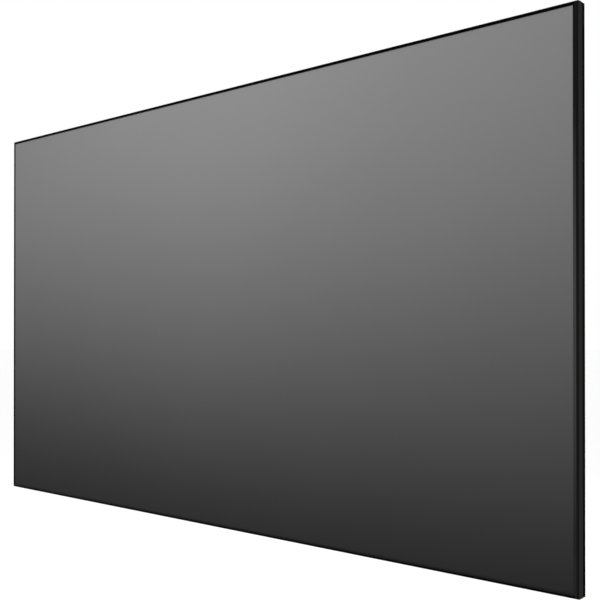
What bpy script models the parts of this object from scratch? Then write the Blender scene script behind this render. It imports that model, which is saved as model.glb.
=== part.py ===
"""A fixed-frame projector screen with a very slim bezel, hung flat on a wall.

Metres, +Z up, +X to the viewer's right, +Y back to the wall. The origin is the middle of the whole object.
A section is drawn in (u, v): u runs inward from the frame's outer face, v runs back from its front face.
Each side of the frame has its own local axes: x along the side, y back, z outward (so z = -u).
"""

import math

import bmesh
import bpy
from mathutils import Vector
from mathutils.geometry import tessellate_polygon

# Driving sizes
VIEW_W = 2.214
VIEW_H = 1.245
BEZEL = 0.010
WALL_GAP = 0.001
GAP = 0.0003

# Trim, the thin black extrusion that clips round the edge
TRIM_DEPTH = 0.036
TRIM_WALL = 0.0012
CHAMFER_IN = 0.003
CHAMFER_BACK = 0.006
REVEAL_V = 0.023
REVEAL_IN = 0.0005
REAR_EDGE = 0.0015
REAR_LIP = 0.0145
ARC_STEPS = 6

# Screen cloth and the hem that holds its tension rods
CLOTH = 0.0006
HEM_CLEARANCE = 0.0003
HEM_WRAP_DEG = 195
HEM_STEPS = 10

# Frame rails, hollow extrusions
RAIL_BEND = 0.007
RAIL_WALL = 0.0015
BULKHEAD_W = 0.0096
RAIL_W = 0.0556
SHELF_FRONT = 0.006
SHELF_BACK = 0.020
SLOT_FROM_BULKHEAD = 0.013
SLOT_W = 0.022
SLOT_MOUTH = 0.014
SLOT_D = 0.0043
GROOVE_D = 0.008
HOOK_RIB_FROM_EDGE = 0.006

# Joining plates and set screws in the rails' rear slot
PLATE_T = 0.003
PLATE_LEG = 0.120
SPLICE_L = 0.300
SCREW_R = 0.003
SCREW_CLEARANCE = 0.0003
SOCKET_R = 0.0016
SOCKET_D = 0.0025
SCREW_RECESS = 0.0008
SCREW_EDGE = 0.018

# Tension rods and springs
ROD_R = 0.002
ROD_END = 0.030
WIRE_R = 0.0008
SPRING_R = 0.003
SPRING_L = 0.018
SPRING_START = 0.009
SPRING_RISE = 0.0033
SPRING_PITCH = 0.130
SPRING_MARGIN = 0.170
HOOK_DROP = 0.0045

# Upright support bars behind the cloth
BAR_W = 0.030
BAR_WALL = 0.0015
BAR_SPACING = 0.744
PLUG_L = 0.020

# Wall brackets
BRACKET_T = 0.002
BRACKET_L = 0.060
BRACKET_PLATE = 0.046
BRACKET_INSET = 0.560
BRACKET_HOLE_R = 0.0025
BRACKET_HOLE_SPACING = 0.036
BRACKET_BITE = 0.006

# Sizes worked out from the driving ones
WIDTH = VIEW_W + 2 * BEZEL
HEIGHT = VIEW_H + 2 * BEZEL
DEPTH = TRIM_DEPTH + WALL_GAP
CLOTH_OUT = TRIM_WALL + GAP
CLOTH_IN = CLOTH_OUT + CLOTH
RAIL_OUT = CLOTH_IN + GAP
BULKHEAD_IN = RAIL_OUT + BULKHEAD_W
RAIL_IN = RAIL_OUT + RAIL_W
HEM_IN_R = ROD_R + HEM_CLEARANCE
HEM_OUT_R = HEM_IN_R + CLOTH
ROD_U = BULKHEAD_IN + GAP + HEM_OUT_R
ROD_V = SHELF_BACK + GAP + HEM_OUT_R
SPRING_V = ROD_V + SPRING_RISE
SLOT_U = BULKHEAD_IN + SLOT_FROM_BULKHEAD + SLOT_W / 2
SLOT_FLOOR = SHELF_BACK - RAIL_WALL - SLOT_D
PLATE_BACK = SHELF_BACK - RAIL_WALL - GAP
PLATE_W = SLOT_W - 2 * GAP
GROOVE_FRONT = SHELF_FRONT + RAIL_WALL
GROOVE_BACK = SHELF_BACK - RAIL_WALL
HOOK_RIB_U = RAIL_IN - HOOK_RIB_FROM_EDGE
HOOK_RIB_TOP = SPRING_V - WIRE_R - GAP

SIDES = ("top", "right", "bottom", "left")
CIRCLE_STEPS = 12
WIRE_STEPS = 6


def clear_scene():
    for obj in list(bpy.data.objects):
        bpy.data.objects.remove(obj)


def material(name, colour, roughness, metallic):
    made = bpy.data.materials.new(name)
    made.use_nodes = True
    shader = made.node_tree.nodes["Principled BSDF"]
    shader.inputs["Base Color"].default_value = (*colour, 1.0)
    shader.inputs["Roughness"].default_value = roughness
    shader.inputs["Metallic"].default_value = metallic
    return made


def finish(bm, name, look, root, smooth=False):
    """Turns a bmesh into an object with outward faces, its material and its parent."""
    bmesh.ops.recalc_face_normals(bm, faces=bm.faces)
    mesh = bpy.data.meshes.new(name)
    bm.to_mesh(mesh)
    bm.free()
    if smooth:
        mesh.shade_smooth()
        mesh.set_sharp_from_angle(angle=math.radians(35))
    mesh.materials.append(look)
    obj = bpy.data.objects.new(name, mesh)
    bpy.context.scene.collection.objects.link(obj)
    obj.parent = root
    return obj


def helper(obj):
    obj.hide_render = True
    obj.display_type = "WIRE"
    return obj


def side_length(side):
    return WIDTH if side in ("top", "bottom") else HEIGHT


def place_on_side(obj, side):
    """Moves an object from a side's local axes to that side of the frame."""
    turn = SIDES.index(side)
    corner_x = WIDTH / 2 * (1 if side in ("right", "bottom") else -1)
    corner_z = HEIGHT / 2 * (1 if side in ("top", "right") else -1)
    obj.location = (corner_x, -DEPTH / 2, corner_z)
    obj.rotation_euler = (0, turn * math.pi / 2, 0)
    return obj


def sweep(loops, point_at):
    """A bmesh of flat loops, an outline and its holes, carried between point_at(a, b, 0) and (a, b, 1)."""
    bm = bmesh.new()
    ends = ([], [])
    for loop in loops:
        rows = [[bm.verts.new(point_at(a, b, end)) for a, b in loop] for end in (0, 1)]
        for i in range(len(loop)):
            j = (i + 1) % len(loop)
            bm.faces.new((rows[0][i], rows[0][j], rows[1][j], rows[1][i]))
        for end in (0, 1):
            ends[end].extend(rows[end])
    flat = [[Vector((a, b, 0)) for a, b in loop] for loop in loops]
    for triangle in tessellate_polygon(flat):
        for end in (0, 1):
            bm.faces.new([ends[end][i] for i in triangle])
    return bm


def loft(rings, bm=None):
    """A bmesh of rings with equal numbers of points, joined in order and capped at both ends."""
    bm = bm or bmesh.new()
    rows = [[bm.verts.new(point) for point in ring] for ring in rings]
    for first, second in zip(rows, rows[1:]):
        for i in range(len(first)):
            j = (i + 1) % len(first)
            bm.faces.new((first[i], first[j], second[j], second[i]))
    bm.faces.new(list(reversed(rows[0])))
    bm.faces.new(rows[-1])
    return bm


def circle(centre_a, centre_b, radius, steps=CIRCLE_STEPS):
    angles = [2 * math.pi * i / steps for i in range(steps)]
    return [(centre_a + radius * math.cos(t), centre_b + radius * math.sin(t)) for t in angles]


def arc(centre_u, centre_v, radius, start_deg, end_deg, steps):
    angles = [math.radians(start_deg + (end_deg - start_deg) * i / steps) for i in range(steps + 1)]
    return [(centre_u + radius * math.cos(t), centre_v + radius * math.sin(t)) for t in angles]


def box_loop(a_low, a_high, b_low, b_high):
    return [(a_low, b_low), (a_high, b_low), (a_high, b_high), (a_low, b_high)]


def skin_line():
    """The trim's outer face: front strip, chamfer, side, a shallow reveal along the rear, then the rear lip."""
    rear = arc(REVEAL_IN + REAR_EDGE, TRIM_DEPTH - REAR_EDGE, REAR_EDGE, 180, 90, ARC_STEPS)
    return [
        (BEZEL, 0),
        (CHAMFER_IN, 0),
        (0, CHAMFER_BACK),
        (0, REVEAL_V),
        (REVEAL_IN, REVEAL_V + REVEAL_IN),
        *rear,
        (REAR_LIP, TRIM_DEPTH),
    ]


def shell_line(offset, front_u, rear_u):
    """What lies under the trim's outer face, at a depth of offset, from front_u round to rear_u."""
    slope = math.hypot(CHAMFER_IN, CHAMFER_BACK)
    front_corner = (CHAMFER_IN + offset * (slope - CHAMFER_IN) / CHAMFER_BACK, offset)
    side_corner = (offset, CHAMFER_BACK + offset * (slope - CHAMFER_BACK) / CHAMFER_IN)
    rear = arc(RAIL_BEND, TRIM_DEPTH - RAIL_BEND, RAIL_BEND - offset, 180, 90, ARC_STEPS)
    return [(front_u, offset), front_corner, side_corner, *rear, (rear_u, TRIM_DEPTH - offset)]


def mitre(side_span, start_mitred, end_mitred):
    """A point_at for sweep: a section along local x, with each end mitred or cut square."""
    start, end = side_span

    def point_at(u, v, which):
        if which == 0:
            x = start + (u if start_mitred else 0) + GAP
        else:
            x = end - (u if end_mitred else 0) - GAP
        return Vector((x, v, -u))

    return point_at


def frame_lengths():
    """Name, side and span of each length of rail and trim: long sides come in two halves."""
    for side in SIDES:
        length = side_length(side)
        if side in ("top", "bottom"):
            first, second = ("left", "right") if side == "top" else ("right", "left")
            yield f"{side}_{first}", side, (0, length / 2), True, False
            yield f"{side}_{second}", side, (length / 2, length), False, True
        else:
            yield side, side, (0, length), True, True


def trim_section():
    return [skin_line() + shell_line(TRIM_WALL, BEZEL, REAR_LIP)[::-1]]


def rail_section():
    """Outer bulkhead that the cloth bends over, then a shelf with a rear slot, a hook rib and an inner groove."""
    slot_low = SLOT_U - SLOT_W / 2
    slot_high = SLOT_U + SLOT_W / 2
    mouth_low = SLOT_U - SLOT_MOUTH / 2
    mouth_high = SLOT_U + SLOT_MOUTH / 2
    lip_v = SHELF_BACK - RAIL_WALL
    groove_u = RAIL_IN - GROOVE_D
    outline = shell_line(RAIL_OUT, BULKHEAD_IN, BULKHEAD_IN) + [
        (BULKHEAD_IN, SHELF_BACK),
        (mouth_low, SHELF_BACK),
        (mouth_low, lip_v),
        (slot_low, lip_v),
        (slot_low, SLOT_FLOOR),
        (slot_high, SLOT_FLOOR),
        (slot_high, lip_v),
        (mouth_high, lip_v),
        (mouth_high, SHELF_BACK),
        (HOOK_RIB_U - RAIL_WALL, SHELF_BACK),
        (HOOK_RIB_U - RAIL_WALL, HOOK_RIB_TOP),
        (HOOK_RIB_U, HOOK_RIB_TOP),
        (HOOK_RIB_U, SHELF_BACK),
        (RAIL_IN, SHELF_BACK),
        (RAIL_IN, GROOVE_BACK),
        (groove_u, GROOVE_BACK),
        (groove_u, GROOVE_FRONT),
        (RAIL_IN, GROOVE_FRONT),
        (RAIL_IN, SHELF_FRONT),
        (BULKHEAD_IN, SHELF_FRONT),
    ]
    core = RAIL_OUT + RAIL_WALL
    bulkhead_void = shell_line(core, BULKHEAD_IN - RAIL_WALL, BULKHEAD_IN - RAIL_WALL)
    outer_cell = box_loop(BULKHEAD_IN, slot_low - RAIL_WALL, SHELF_FRONT + RAIL_WALL, lip_v)
    slot_cell = box_loop(slot_low, groove_u - RAIL_WALL, SHELF_FRONT + RAIL_WALL, SLOT_FLOOR - RAIL_WALL)
    return [outline, bulkhead_void, outer_cell, slot_cell]


def build_lengths(prefix, section, look, root):
    for name, side, span, start_mitred, end_mitred in frame_lengths():
        bm = sweep(section, mitre(span, start_mitred, end_mitred))
        obj = finish(bm, f"{prefix}_{name}", look, root, smooth=True)
        place_on_side(obj, side)


def cloth_paths():
    """The cloth's two faces from the bezel's edge, round the rail and into the hem that holds the rod."""
    over = BULKHEAD_IN + GAP
    sweep_end = 180 + HEM_WRAP_DEG
    outside = shell_line(CLOTH_OUT, BEZEL, over + CLOTH)
    outside += arc(ROD_U, ROD_V, HEM_IN_R, 180, sweep_end, HEM_STEPS)
    inside = shell_line(CLOTH_IN, BEZEL, over)
    inside += arc(ROD_U, ROD_V, HEM_OUT_R, 180, sweep_end, HEM_STEPS)
    return outside, inside


def side_point(side, x, u, v):
    """World point of a local one, for a mesh that takes in all four sides."""
    turn = SIDES.index(side)
    corner = Vector((WIDTH / 2 * (1 if turn in (1, 2) else -1), HEIGHT / 2 * (1 if turn in (0, 1) else -1)))
    along = Vector(((1, 0), (0, -1), (-1, 0), (0, 1))[turn])
    inward = Vector(((0, -1), (-1, 0), (0, 1), (1, 0))[turn])
    flat = corner + along * x + inward * u
    return Vector((flat.x, v - DEPTH / 2, flat.y))


def build_cloth(look, root):
    """One sheet: the picture face, and on each side a flap that ends in a hem. The flaps' corners are notched."""
    bm = bmesh.new()
    outside, inside = cloth_paths()
    corners = {}
    for path_name, path in (("outside", outside), ("inside", inside)):
        for index, side in enumerate(SIDES):
            corners[path_name, index] = bm.verts.new(side_point(side, path[0][0], *path[0]))
    for index, side in enumerate(SIDES):
        length = side_length(side)
        rows = {}
        for path_name, path in (("outside", outside), ("inside", inside)):
            near = [corners[path_name, index]]
            far = [corners[path_name, (index + 1) % len(SIDES)]]
            for u, v in path[1:]:
                near.append(bm.verts.new(side_point(side, u + GAP, u, v)))
                far.append(bm.verts.new(side_point(side, length - u - GAP, u, v)))
            rows[path_name] = (near, far)
            for i in range(len(path) - 1):
                bm.faces.new((near[i], near[i + 1], far[i + 1], far[i]))
        for end in (0, 1):
            out_row = rows["outside"][end]
            in_row = rows["inside"][end]
            for i in range(len(out_row) - 1):
                bm.faces.new((out_row[i], out_row[i + 1], in_row[i + 1], in_row[i]))
        out_near, out_far = rows["outside"]
        in_near, in_far = rows["inside"]
        bm.faces.new((out_near[-1], out_far[-1], in_far[-1], in_near[-1]))
    for path_name in ("outside", "inside"):
        bm.faces.new([corners[path_name, index] for index in range(len(SIDES))])
    finish(bm, "screen_cloth", look, root, smooth=True)


def spring_places(side):
    """Where the springs stand along a side: evenly spaced, clear of the corners."""
    run = side_length(side) - 2 * SPRING_MARGIN
    count = max(2, int(run / SPRING_PITCH) + 1)
    return [SPRING_MARGIN + run * i / (count - 1) for i in range(count)]


def wire_ring(x, u, v, tangent, radius):
    """A ring of points round a wire that runs along tangent, a direction in (u, v)."""
    slope = math.hypot(*tangent)
    run_u = tangent[0] / slope
    run_v = tangent[1] / slope
    ring = []
    for a, b in circle(0, 0, radius, WIRE_STEPS):
        ring.append(Vector((x + a, v + b * run_u, b * run_v - u)))
    return ring


def spring_rings(x):
    """One spring: an eye wire from the rod, the coil as a plain cylinder, then the hook over the rail's rib."""
    coil_start = ROD_U + SPRING_START
    coil_end = coil_start + SPRING_L
    hook_u = HOOK_RIB_U + GAP + WIRE_R
    straight = (1, 0)
    return [
        wire_ring(x, ROD_U, ROD_V, (1, 1), WIRE_R),
        wire_ring(x, ROD_U + SPRING_RISE, SPRING_V, (2, 1), WIRE_R),
        wire_ring(x, coil_start, SPRING_V, straight, WIRE_R),
        wire_ring(x, coil_start, SPRING_V, straight, SPRING_R),
        wire_ring(x, coil_end, SPRING_V, straight, SPRING_R),
        wire_ring(x, coil_end, SPRING_V, straight, WIRE_R),
        wire_ring(x, hook_u, SPRING_V, (1, -1), WIRE_R),
        wire_ring(x, hook_u, SPRING_V - HOOK_DROP, (0, -1), WIRE_R),
    ]


def build_tension_rod(side, look, root):
    """A rod in the hem, one solid with its row of springs."""
    length = side_length(side)
    rod_rings = []
    for x in (ROD_END, length - ROD_END):
        rod_rings.append([Vector((x, v, -u)) for u, v in circle(ROD_U, ROD_V, ROD_R)])
    rod = finish(loft(rod_rings), f"tension_rod_{side}", look, root, smooth=True)
    bm = bmesh.new()
    for x in spring_places(side):
        loft(spring_rings(x), bm)
    springs = helper(finish(bm, f"spring_row_{side}", look, root))
    union = rod.modifiers.new("springs", "BOOLEAN")
    union.operation = "UNION"
    union.object = springs
    place_on_side(rod, side)
    place_on_side(springs, side)


def plate(loops, look, name, root):
    def point_at(x, u, which):
        return Vector((x, PLATE_BACK - (PLATE_T if which else 0), -u))

    return finish(sweep(loops, point_at), name, look, root)


def corner_screw_places():
    """Two screws along each leg of a corner plate, on the slot's middle line."""
    near = SLOT_U + PLATE_W / 2 + SCREW_EDGE
    far = SLOT_U - PLATE_W / 2 + PLATE_LEG - SCREW_EDGE
    return [(near, SLOT_U), (far, SLOT_U), (SLOT_U, near), (SLOT_U, far)]


def splice_screw_places():
    half = SPLICE_L / 2 - SCREW_EDGE
    return [(WIDTH / 2 + x, SLOT_U) for x in (-half, -SCREW_EDGE, SCREW_EDGE, half)]


def screw_mesh(look, root):
    """A set screw with a hexagon socket, its flat end on the slot's floor. The first one carries the shared mesh."""
    head = SHELF_BACK - SCREW_RECESS
    foot = SLOT_FLOOR + GAP
    floor = head - SOCKET_D
    body = circle(0, 0, SCREW_R)
    flat = SOCKET_R * math.cos(math.pi / 6)
    socket = []
    for i, (a, b) in enumerate(circle(0, 0, 1)):
        reach = SOCKET_R if i % 2 == 0 else flat
        socket.append((a * reach, b * reach))
    rings = [[Vector((a, y, b)) for a, b in loop] for loop, y in
             ((body, foot), (body, head), (socket, head), (socket, floor))]
    return finish(loft(rings), "set_screw", look, root, smooth=True)


def build_plates(plate_look, screw_look, root):
    hole_r = SCREW_R + SCREW_CLEARANCE
    inner = SLOT_U + PLATE_W / 2
    outer = SLOT_U - PLATE_W / 2
    tip = outer + PLATE_LEG
    corner = [(outer, outer), (tip, outer), (tip, inner), (inner, inner), (inner, tip), (outer, tip)]
    first_screw = screw_mesh(screw_look, root)
    corner_names = ("top_left", "top_right", "bottom_right", "bottom_left")
    for side, name in zip(SIDES, corner_names):
        holes = [circle(x, u, hole_r) for x, u in corner_screw_places()]
        place_on_side(plate([corner, *holes], plate_look, f"corner_plate_{name}", root), side)
        for number, (x, u) in enumerate(corner_screw_places(), 1):
            copy_screw(first_screw, f"corner_screw_{name}_{number}", side, x, u, root)
    for side in ("top", "bottom"):
        middle = WIDTH / 2
        outline = box_loop(middle - SPLICE_L / 2, middle + SPLICE_L / 2, outer, inner)
        holes = [circle(x, u, hole_r) for x, u in splice_screw_places()]
        place_on_side(plate([outline, *holes], plate_look, f"splice_plate_{side}", root), side)
        for number, (x, u) in enumerate(splice_screw_places(), 1):
            copy_screw(first_screw, f"splice_screw_{side}_{number}", side, x, u, root)
    bpy.data.objects.remove(first_screw)


def copy_screw(first, name, side, x, u, root):
    screw = bpy.data.objects.new(name, first.data)
    bpy.context.scene.collection.objects.link(screw)
    screw.parent = root
    place_on_side(screw, side)
    offset = Vector((x, 0, -u))
    offset.rotate(screw.rotation_euler)
    screw.location += offset


def build_support_bar(name, middle_x, bar_look, cap_look, root):
    """An upright tube between the rails, with a plug in each end whose head sits in the rail's groove."""
    front = GROOVE_FRONT + GAP - DEPTH / 2
    back = GROOVE_BACK - GAP - DEPTH / 2
    low_x = middle_x - BAR_W / 2
    high_x = middle_x + BAR_W / 2
    rail_z = HEIGHT / 2 - RAIL_IN
    tube_z = rail_z - GAP

    def point_at(x, y, which):
        return Vector((x, y, tube_z if which else -tube_z))

    outline = box_loop(low_x, high_x, front, back)
    bore = box_loop(low_x + BAR_WALL, high_x - BAR_WALL, front + BAR_WALL, back - BAR_WALL)
    finish(sweep([outline, bore], point_at), f"support_bar_{name}", bar_look, root)
    inset = BAR_WALL + GAP
    plug = box_loop(low_x + inset, high_x - inset, front + inset, back - inset)
    for end, sign in (("top", 1), ("bottom", -1)):
        head_z = rail_z + GROOVE_D - GAP
        neck_z = tube_z + GAP
        stations = ((outline, head_z), (outline, neck_z), (plug, neck_z), (plug, neck_z - PLUG_L))
        rings = [[Vector((x, y, sign * z)) for x, y in loop] for loop, z in stations]
        finish(loft(rings), f"support_plug_{name}_{end}", cap_look, root)


def bracket_section():
    """A bent strip: a plate on the wall, a tongue under the rail, and a lip that stands in the rail's groove."""
    near = RAIL_IN + GAP
    lip_back = GROOVE_BACK - GAP
    return [[
        (near, DEPTH),
        (near, lip_back),
        (RAIL_IN - BRACKET_BITE, lip_back),
        (RAIL_IN - BRACKET_BITE, lip_back - BRACKET_T),
        (near + BRACKET_T, lip_back - BRACKET_T),
        (near + BRACKET_T, DEPTH - BRACKET_T),
        (near + BRACKET_PLATE, DEPTH - BRACKET_T),
        (near + BRACKET_PLATE, DEPTH),
    ]]


def build_bracket(side, name, middle_x, look, root):
    def point_at(u, v, which):
        return Vector((middle_x + BRACKET_L * (0.5 if which else -0.5), v, -u))

    bracket = finish(sweep(bracket_section(), point_at), f"wall_bracket_{name}", look, root)
    hole_u = RAIL_IN + GAP + BRACKET_T + (BRACKET_PLATE - BRACKET_T) / 2
    bm = bmesh.new()
    for x in (middle_x - BRACKET_HOLE_SPACING / 2, middle_x + BRACKET_HOLE_SPACING / 2):
        rings = []
        for v in (DEPTH - 2 * BRACKET_T, DEPTH + BRACKET_T):
            rings.append([Vector((x + a, v, b - hole_u)) for a, b in circle(0, 0, BRACKET_HOLE_R)])
        loft(rings, bm)
    cutter = helper(finish(bm, f"bracket_holes_{name}", look, root))
    cut = bracket.modifiers.new("screw_holes", "BOOLEAN")
    cut.operation = "DIFFERENCE"
    cut.object = cutter
    place_on_side(bracket, side)
    place_on_side(cutter, side)


def build_brackets(look, root):
    near = BRACKET_INSET
    far = WIDTH - BRACKET_INSET
    build_bracket("top", "top_left", near, look, root)
    build_bracket("top", "top_right", far, look, root)
    build_bracket("bottom", "bottom_right", near, look, root)
    build_bracket("bottom", "bottom_left", far, look, root)


def main():
    clear_scene()
    root = bpy.data.objects.new("projector_screen", None)
    bpy.context.scene.collection.objects.link(root)
    trim_look = material("black_anodised_trim", (0.012, 0.012, 0.013), 0.42, 0.9)
    cloth_look = material("grey_screen_cloth", (0.12, 0.12, 0.12), 0.55, 0.0)
    rail_look = material("mill_aluminium_rail", (0.50, 0.51, 0.52), 0.38, 1.0)
    plate_look = material("zinc_steel_plate", (0.55, 0.56, 0.58), 0.40, 1.0)
    screw_look = material("black_oxide_screw", (0.03, 0.03, 0.03), 0.45, 1.0)
    spring_look = material("spring_steel", (0.42, 0.42, 0.43), 0.30, 1.0)
    bar_look = material("black_support_bar", (0.02, 0.02, 0.02), 0.50, 0.5)
    plug_look = material("black_plastic_plug", (0.02, 0.02, 0.02), 0.60, 0.0)
    bracket_look = material("black_powder_bracket", (0.02, 0.02, 0.02), 0.55, 0.3)
    build_lengths("trim", trim_section(), trim_look, root)
    build_lengths("rail", rail_section(), rail_look, root)
    build_cloth(cloth_look, root)
    for side in SIDES:
        build_tension_rod(side, spring_look, root)
    build_plates(plate_look, screw_look, root)
    build_support_bar("left", -BAR_SPACING / 2, bar_look, plug_look, root)
    build_support_bar("right", BAR_SPACING / 2, bar_look, plug_look, root)
    build_brackets(bracket_look, root)


main()
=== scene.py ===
"""Looks of a fixed-frame projector screen: its cloth, trim, rails, springs and fittings, with floor, light and camera.

Metres throughout, in the frame's own axes: +X to the viewer's right, +Y back to the wall, +Z up.
A section is drawn in (u, v): u runs inward from the frame's outer face, v runs back from its front face.
Each side of the frame has local axes of its own: x along the side, y back, z outward, so that z = -u.
"""

import sys

import enum
import logging
import math
from collections.abc import Callable, Iterator, Sequence
from dataclasses import dataclass, field

import bmesh
import bpy
from mathutils import Matrix, Vector
from mathutils.geometry import tessellate_polygon


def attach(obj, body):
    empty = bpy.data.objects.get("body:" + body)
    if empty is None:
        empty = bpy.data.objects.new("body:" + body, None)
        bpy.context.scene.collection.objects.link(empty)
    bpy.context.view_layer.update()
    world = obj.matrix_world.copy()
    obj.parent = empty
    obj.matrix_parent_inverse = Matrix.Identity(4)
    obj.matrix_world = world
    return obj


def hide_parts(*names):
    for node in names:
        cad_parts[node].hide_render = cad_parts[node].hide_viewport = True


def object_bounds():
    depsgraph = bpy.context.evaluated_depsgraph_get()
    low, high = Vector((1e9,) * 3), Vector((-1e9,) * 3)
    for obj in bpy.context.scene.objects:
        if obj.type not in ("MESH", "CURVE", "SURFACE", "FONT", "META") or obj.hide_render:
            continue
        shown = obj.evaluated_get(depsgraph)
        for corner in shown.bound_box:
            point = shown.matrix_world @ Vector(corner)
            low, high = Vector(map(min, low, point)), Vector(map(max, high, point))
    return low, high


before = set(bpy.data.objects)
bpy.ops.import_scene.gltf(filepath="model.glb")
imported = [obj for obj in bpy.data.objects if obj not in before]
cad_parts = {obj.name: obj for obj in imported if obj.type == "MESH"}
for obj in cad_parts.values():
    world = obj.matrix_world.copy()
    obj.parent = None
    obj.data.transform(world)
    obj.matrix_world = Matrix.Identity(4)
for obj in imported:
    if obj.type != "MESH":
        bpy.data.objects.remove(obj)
CAD_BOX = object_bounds()
LOG = logging.getLogger("projector_screen")

Flat = tuple[float, float]
Point = tuple[float, float, float]
Colour = tuple[float, float, float]
BODY = "root"
SHARP = 35.0


class Side(enum.Enum):
    """The four sides of the frame, clockwise from the top, seen from the front."""

    TOP = 0
    RIGHT = 1
    BOTTOM = 2
    LEFT = 3


class Grain(enum.Enum):
    """The way that a metal was drawn or brushed."""

    ALONG_X = (0.012, 1.0, 1.0)
    ALONG_Z = (1.0, 1.0, 0.012)


@dataclass(frozen=True)
class FrameSizes:
    """The sizes that pieces of the screen share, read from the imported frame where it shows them.

    Args:
        width: Outside width.
        height: Outside height.
        depth: Front face to wall.
        bezel: Width of the black border round the picture.
        gap: Clearance between pieces that touch or press on each other.
        wall_gap: How far the trim stops short of the wall.
        trim_wall: Thickness of the trim.
        chamfer_in: How far the front chamfer reaches inward.
        chamfer_back: How far the front chamfer reaches back.
        reveal_v: Where the reveal along the rear of the side starts, back.
        reveal_in: Depth of that reveal.
        rear_edge: Rounding of the trim's rear edge.
        rear_lip: Where the trim's rear lip ends, inward.
        rail_bend: Rounding of the rear edge that the cloth bends round, measured at the skin.
        cloth: Thickness of the cloth.
        bulkhead: Width of the rail's raised outer part.
        rail_width: Width of the whole rail.
        rail_wall: Thickness of the rail's walls.
        shelf_front: Where the rail's shelf starts, back.
        shelf_back: Where the shelf ends, back.
        slot_width: Width of the rear slot.
        slot_mouth: Width of the slot's mouth.
        slot_depth: Depth of the slot under its lips.
        slot_from_bulkhead: Where the slot starts, inward from the raised outer part.
        groove_depth: Depth of the inner groove.
        rib_from_edge: The hook rib's inner face, from the rail's inner face.
        rod_radius: Radius of the tension rods.
        wire_radius: Half the room that the springs' wire takes.
        spring_rise: How far the springs' middle line lies behind the rods'.
    """

    width: float
    height: float
    depth: float
    bezel: float = 0.010
    gap: float = 0.0003
    wall_gap: float = 0.001
    trim_wall: float = 0.0012
    chamfer_in: float = 0.003
    chamfer_back: float = 0.006
    reveal_v: float = 0.023
    reveal_in: float = 0.0005
    rear_edge: float = 0.0015
    rear_lip: float = 0.0145
    rail_bend: float = 0.007
    cloth: float = 0.0006
    bulkhead: float = 0.0096
    rail_width: float = 0.0556
    rail_wall: float = 0.0015
    shelf_front: float = 0.006
    shelf_back: float = 0.020
    slot_width: float = 0.022
    slot_mouth: float = 0.014
    slot_depth: float = 0.0043
    slot_from_bulkhead: float = 0.013
    groove_depth: float = 0.008
    rib_from_edge: float = 0.006
    rod_radius: float = 0.002
    wire_radius: float = 0.0008
    spring_rise: float = 0.0033

    @classmethod
    def from_frame(cls) -> "FrameSizes":
        """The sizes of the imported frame.

        Returns:
            The shared sizes, with the outside ones read from the frame's box.
        """
        low, high = CAD_BOX
        return cls(high.x - low.x, high.z - low.z, high.y - low.y)

    @property
    def trim_depth(self) -> float:
        """Depth of the trim, which stops just short of the wall."""
        return self.depth - self.wall_gap

    @property
    def cloth_out(self) -> float:
        """Depth of the cloth's coated face under the frame's skin."""
        return self.trim_wall + self.gap

    @property
    def cloth_in(self) -> float:
        """Depth of the cloth's back under the frame's skin."""
        return self.cloth_out + self.cloth

    @property
    def rail_out(self) -> float:
        """Depth of the rail's face under the frame's skin."""
        return self.cloth_in + self.gap

    @property
    def bulkhead_in(self) -> float:
        """Where the rail's raised outer part ends, inward."""
        return self.rail_out + self.bulkhead

    @property
    def rail_in(self) -> float:
        """The rail's inner face."""
        return self.rail_out + self.rail_width

    @property
    def hem_in_radius(self) -> float:
        """Inside of the hem."""
        return self.rod_radius + self.gap

    @property
    def hem_out_radius(self) -> float:
        """Outside of the hem."""
        return self.hem_in_radius + self.cloth

    @property
    def rod_u(self) -> float:
        """The tension rod's middle, inward."""
        return self.bulkhead_in + self.gap + self.hem_out_radius

    @property
    def rod_v(self) -> float:
        """The tension rod's middle, back."""
        return self.shelf_back + self.gap + self.hem_out_radius

    @property
    def spring_v(self) -> float:
        """The springs' middle line, back."""
        return self.rod_v + self.spring_rise

    @property
    def slot_u(self) -> float:
        """The middle of the rails' rear slot."""
        return self.bulkhead_in + self.slot_from_bulkhead + self.slot_width / 2

    @property
    def slot_floor(self) -> float:
        """The floor of the rails' rear slot."""
        return self.shelf_back - self.rail_wall - self.slot_depth

    @property
    def rib_top(self) -> float:
        """How far back the hook rib stands."""
        return self.spring_v - self.wire_radius - self.gap

    @property
    def rib_u(self) -> float:
        """The inner face of the rib that the hooks catch."""
        return self.rail_in - self.rib_from_edge

    def length(self, side: Side) -> float:
        """Outside length of a side."""
        return self.width if side in (Side.TOP, Side.BOTTOM) else self.height

    def side_matrix(self, side: Side) -> Matrix:
        """The matrix from a side's local axes to the frame's.

        Args:
            side: Which side.

        Returns:
            A turn about Y and a move to the corner where the side starts.
        """
        corner_x = self.width / 2 * (1 if side in (Side.RIGHT, Side.BOTTOM) else -1)
        corner_z = self.height / 2 * (1 if side in (Side.TOP, Side.RIGHT) else -1)
        move = Matrix.Translation((corner_x, -self.depth / 2, corner_z))
        return move @ Matrix.Rotation(side.value * math.pi / 2, 4, "Y")

    def skin_line(self, steps: int = 8) -> list[Flat]:
        """The trim's outer face: front strip, chamfer, side, a shallow reveal along the rear, then the rear lip.

        Args:
            steps: Steps in the round rear edge.

        Returns:
            Points from the bezel's inner edge, round the side, to the rear lip's edge.
        """
        centre = (self.reveal_in + self.rear_edge, self.trim_depth - self.rear_edge)
        line = [(self.bezel, 0.0), (self.chamfer_in, 0.0), (0.0, self.chamfer_back), (0.0, self.reveal_v)]
        line.append((self.reveal_in, self.reveal_v + self.reveal_in))
        return line + arc(centre, self.rear_edge, 180, 90, steps) + [(self.rear_lip, self.trim_depth)]

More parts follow.
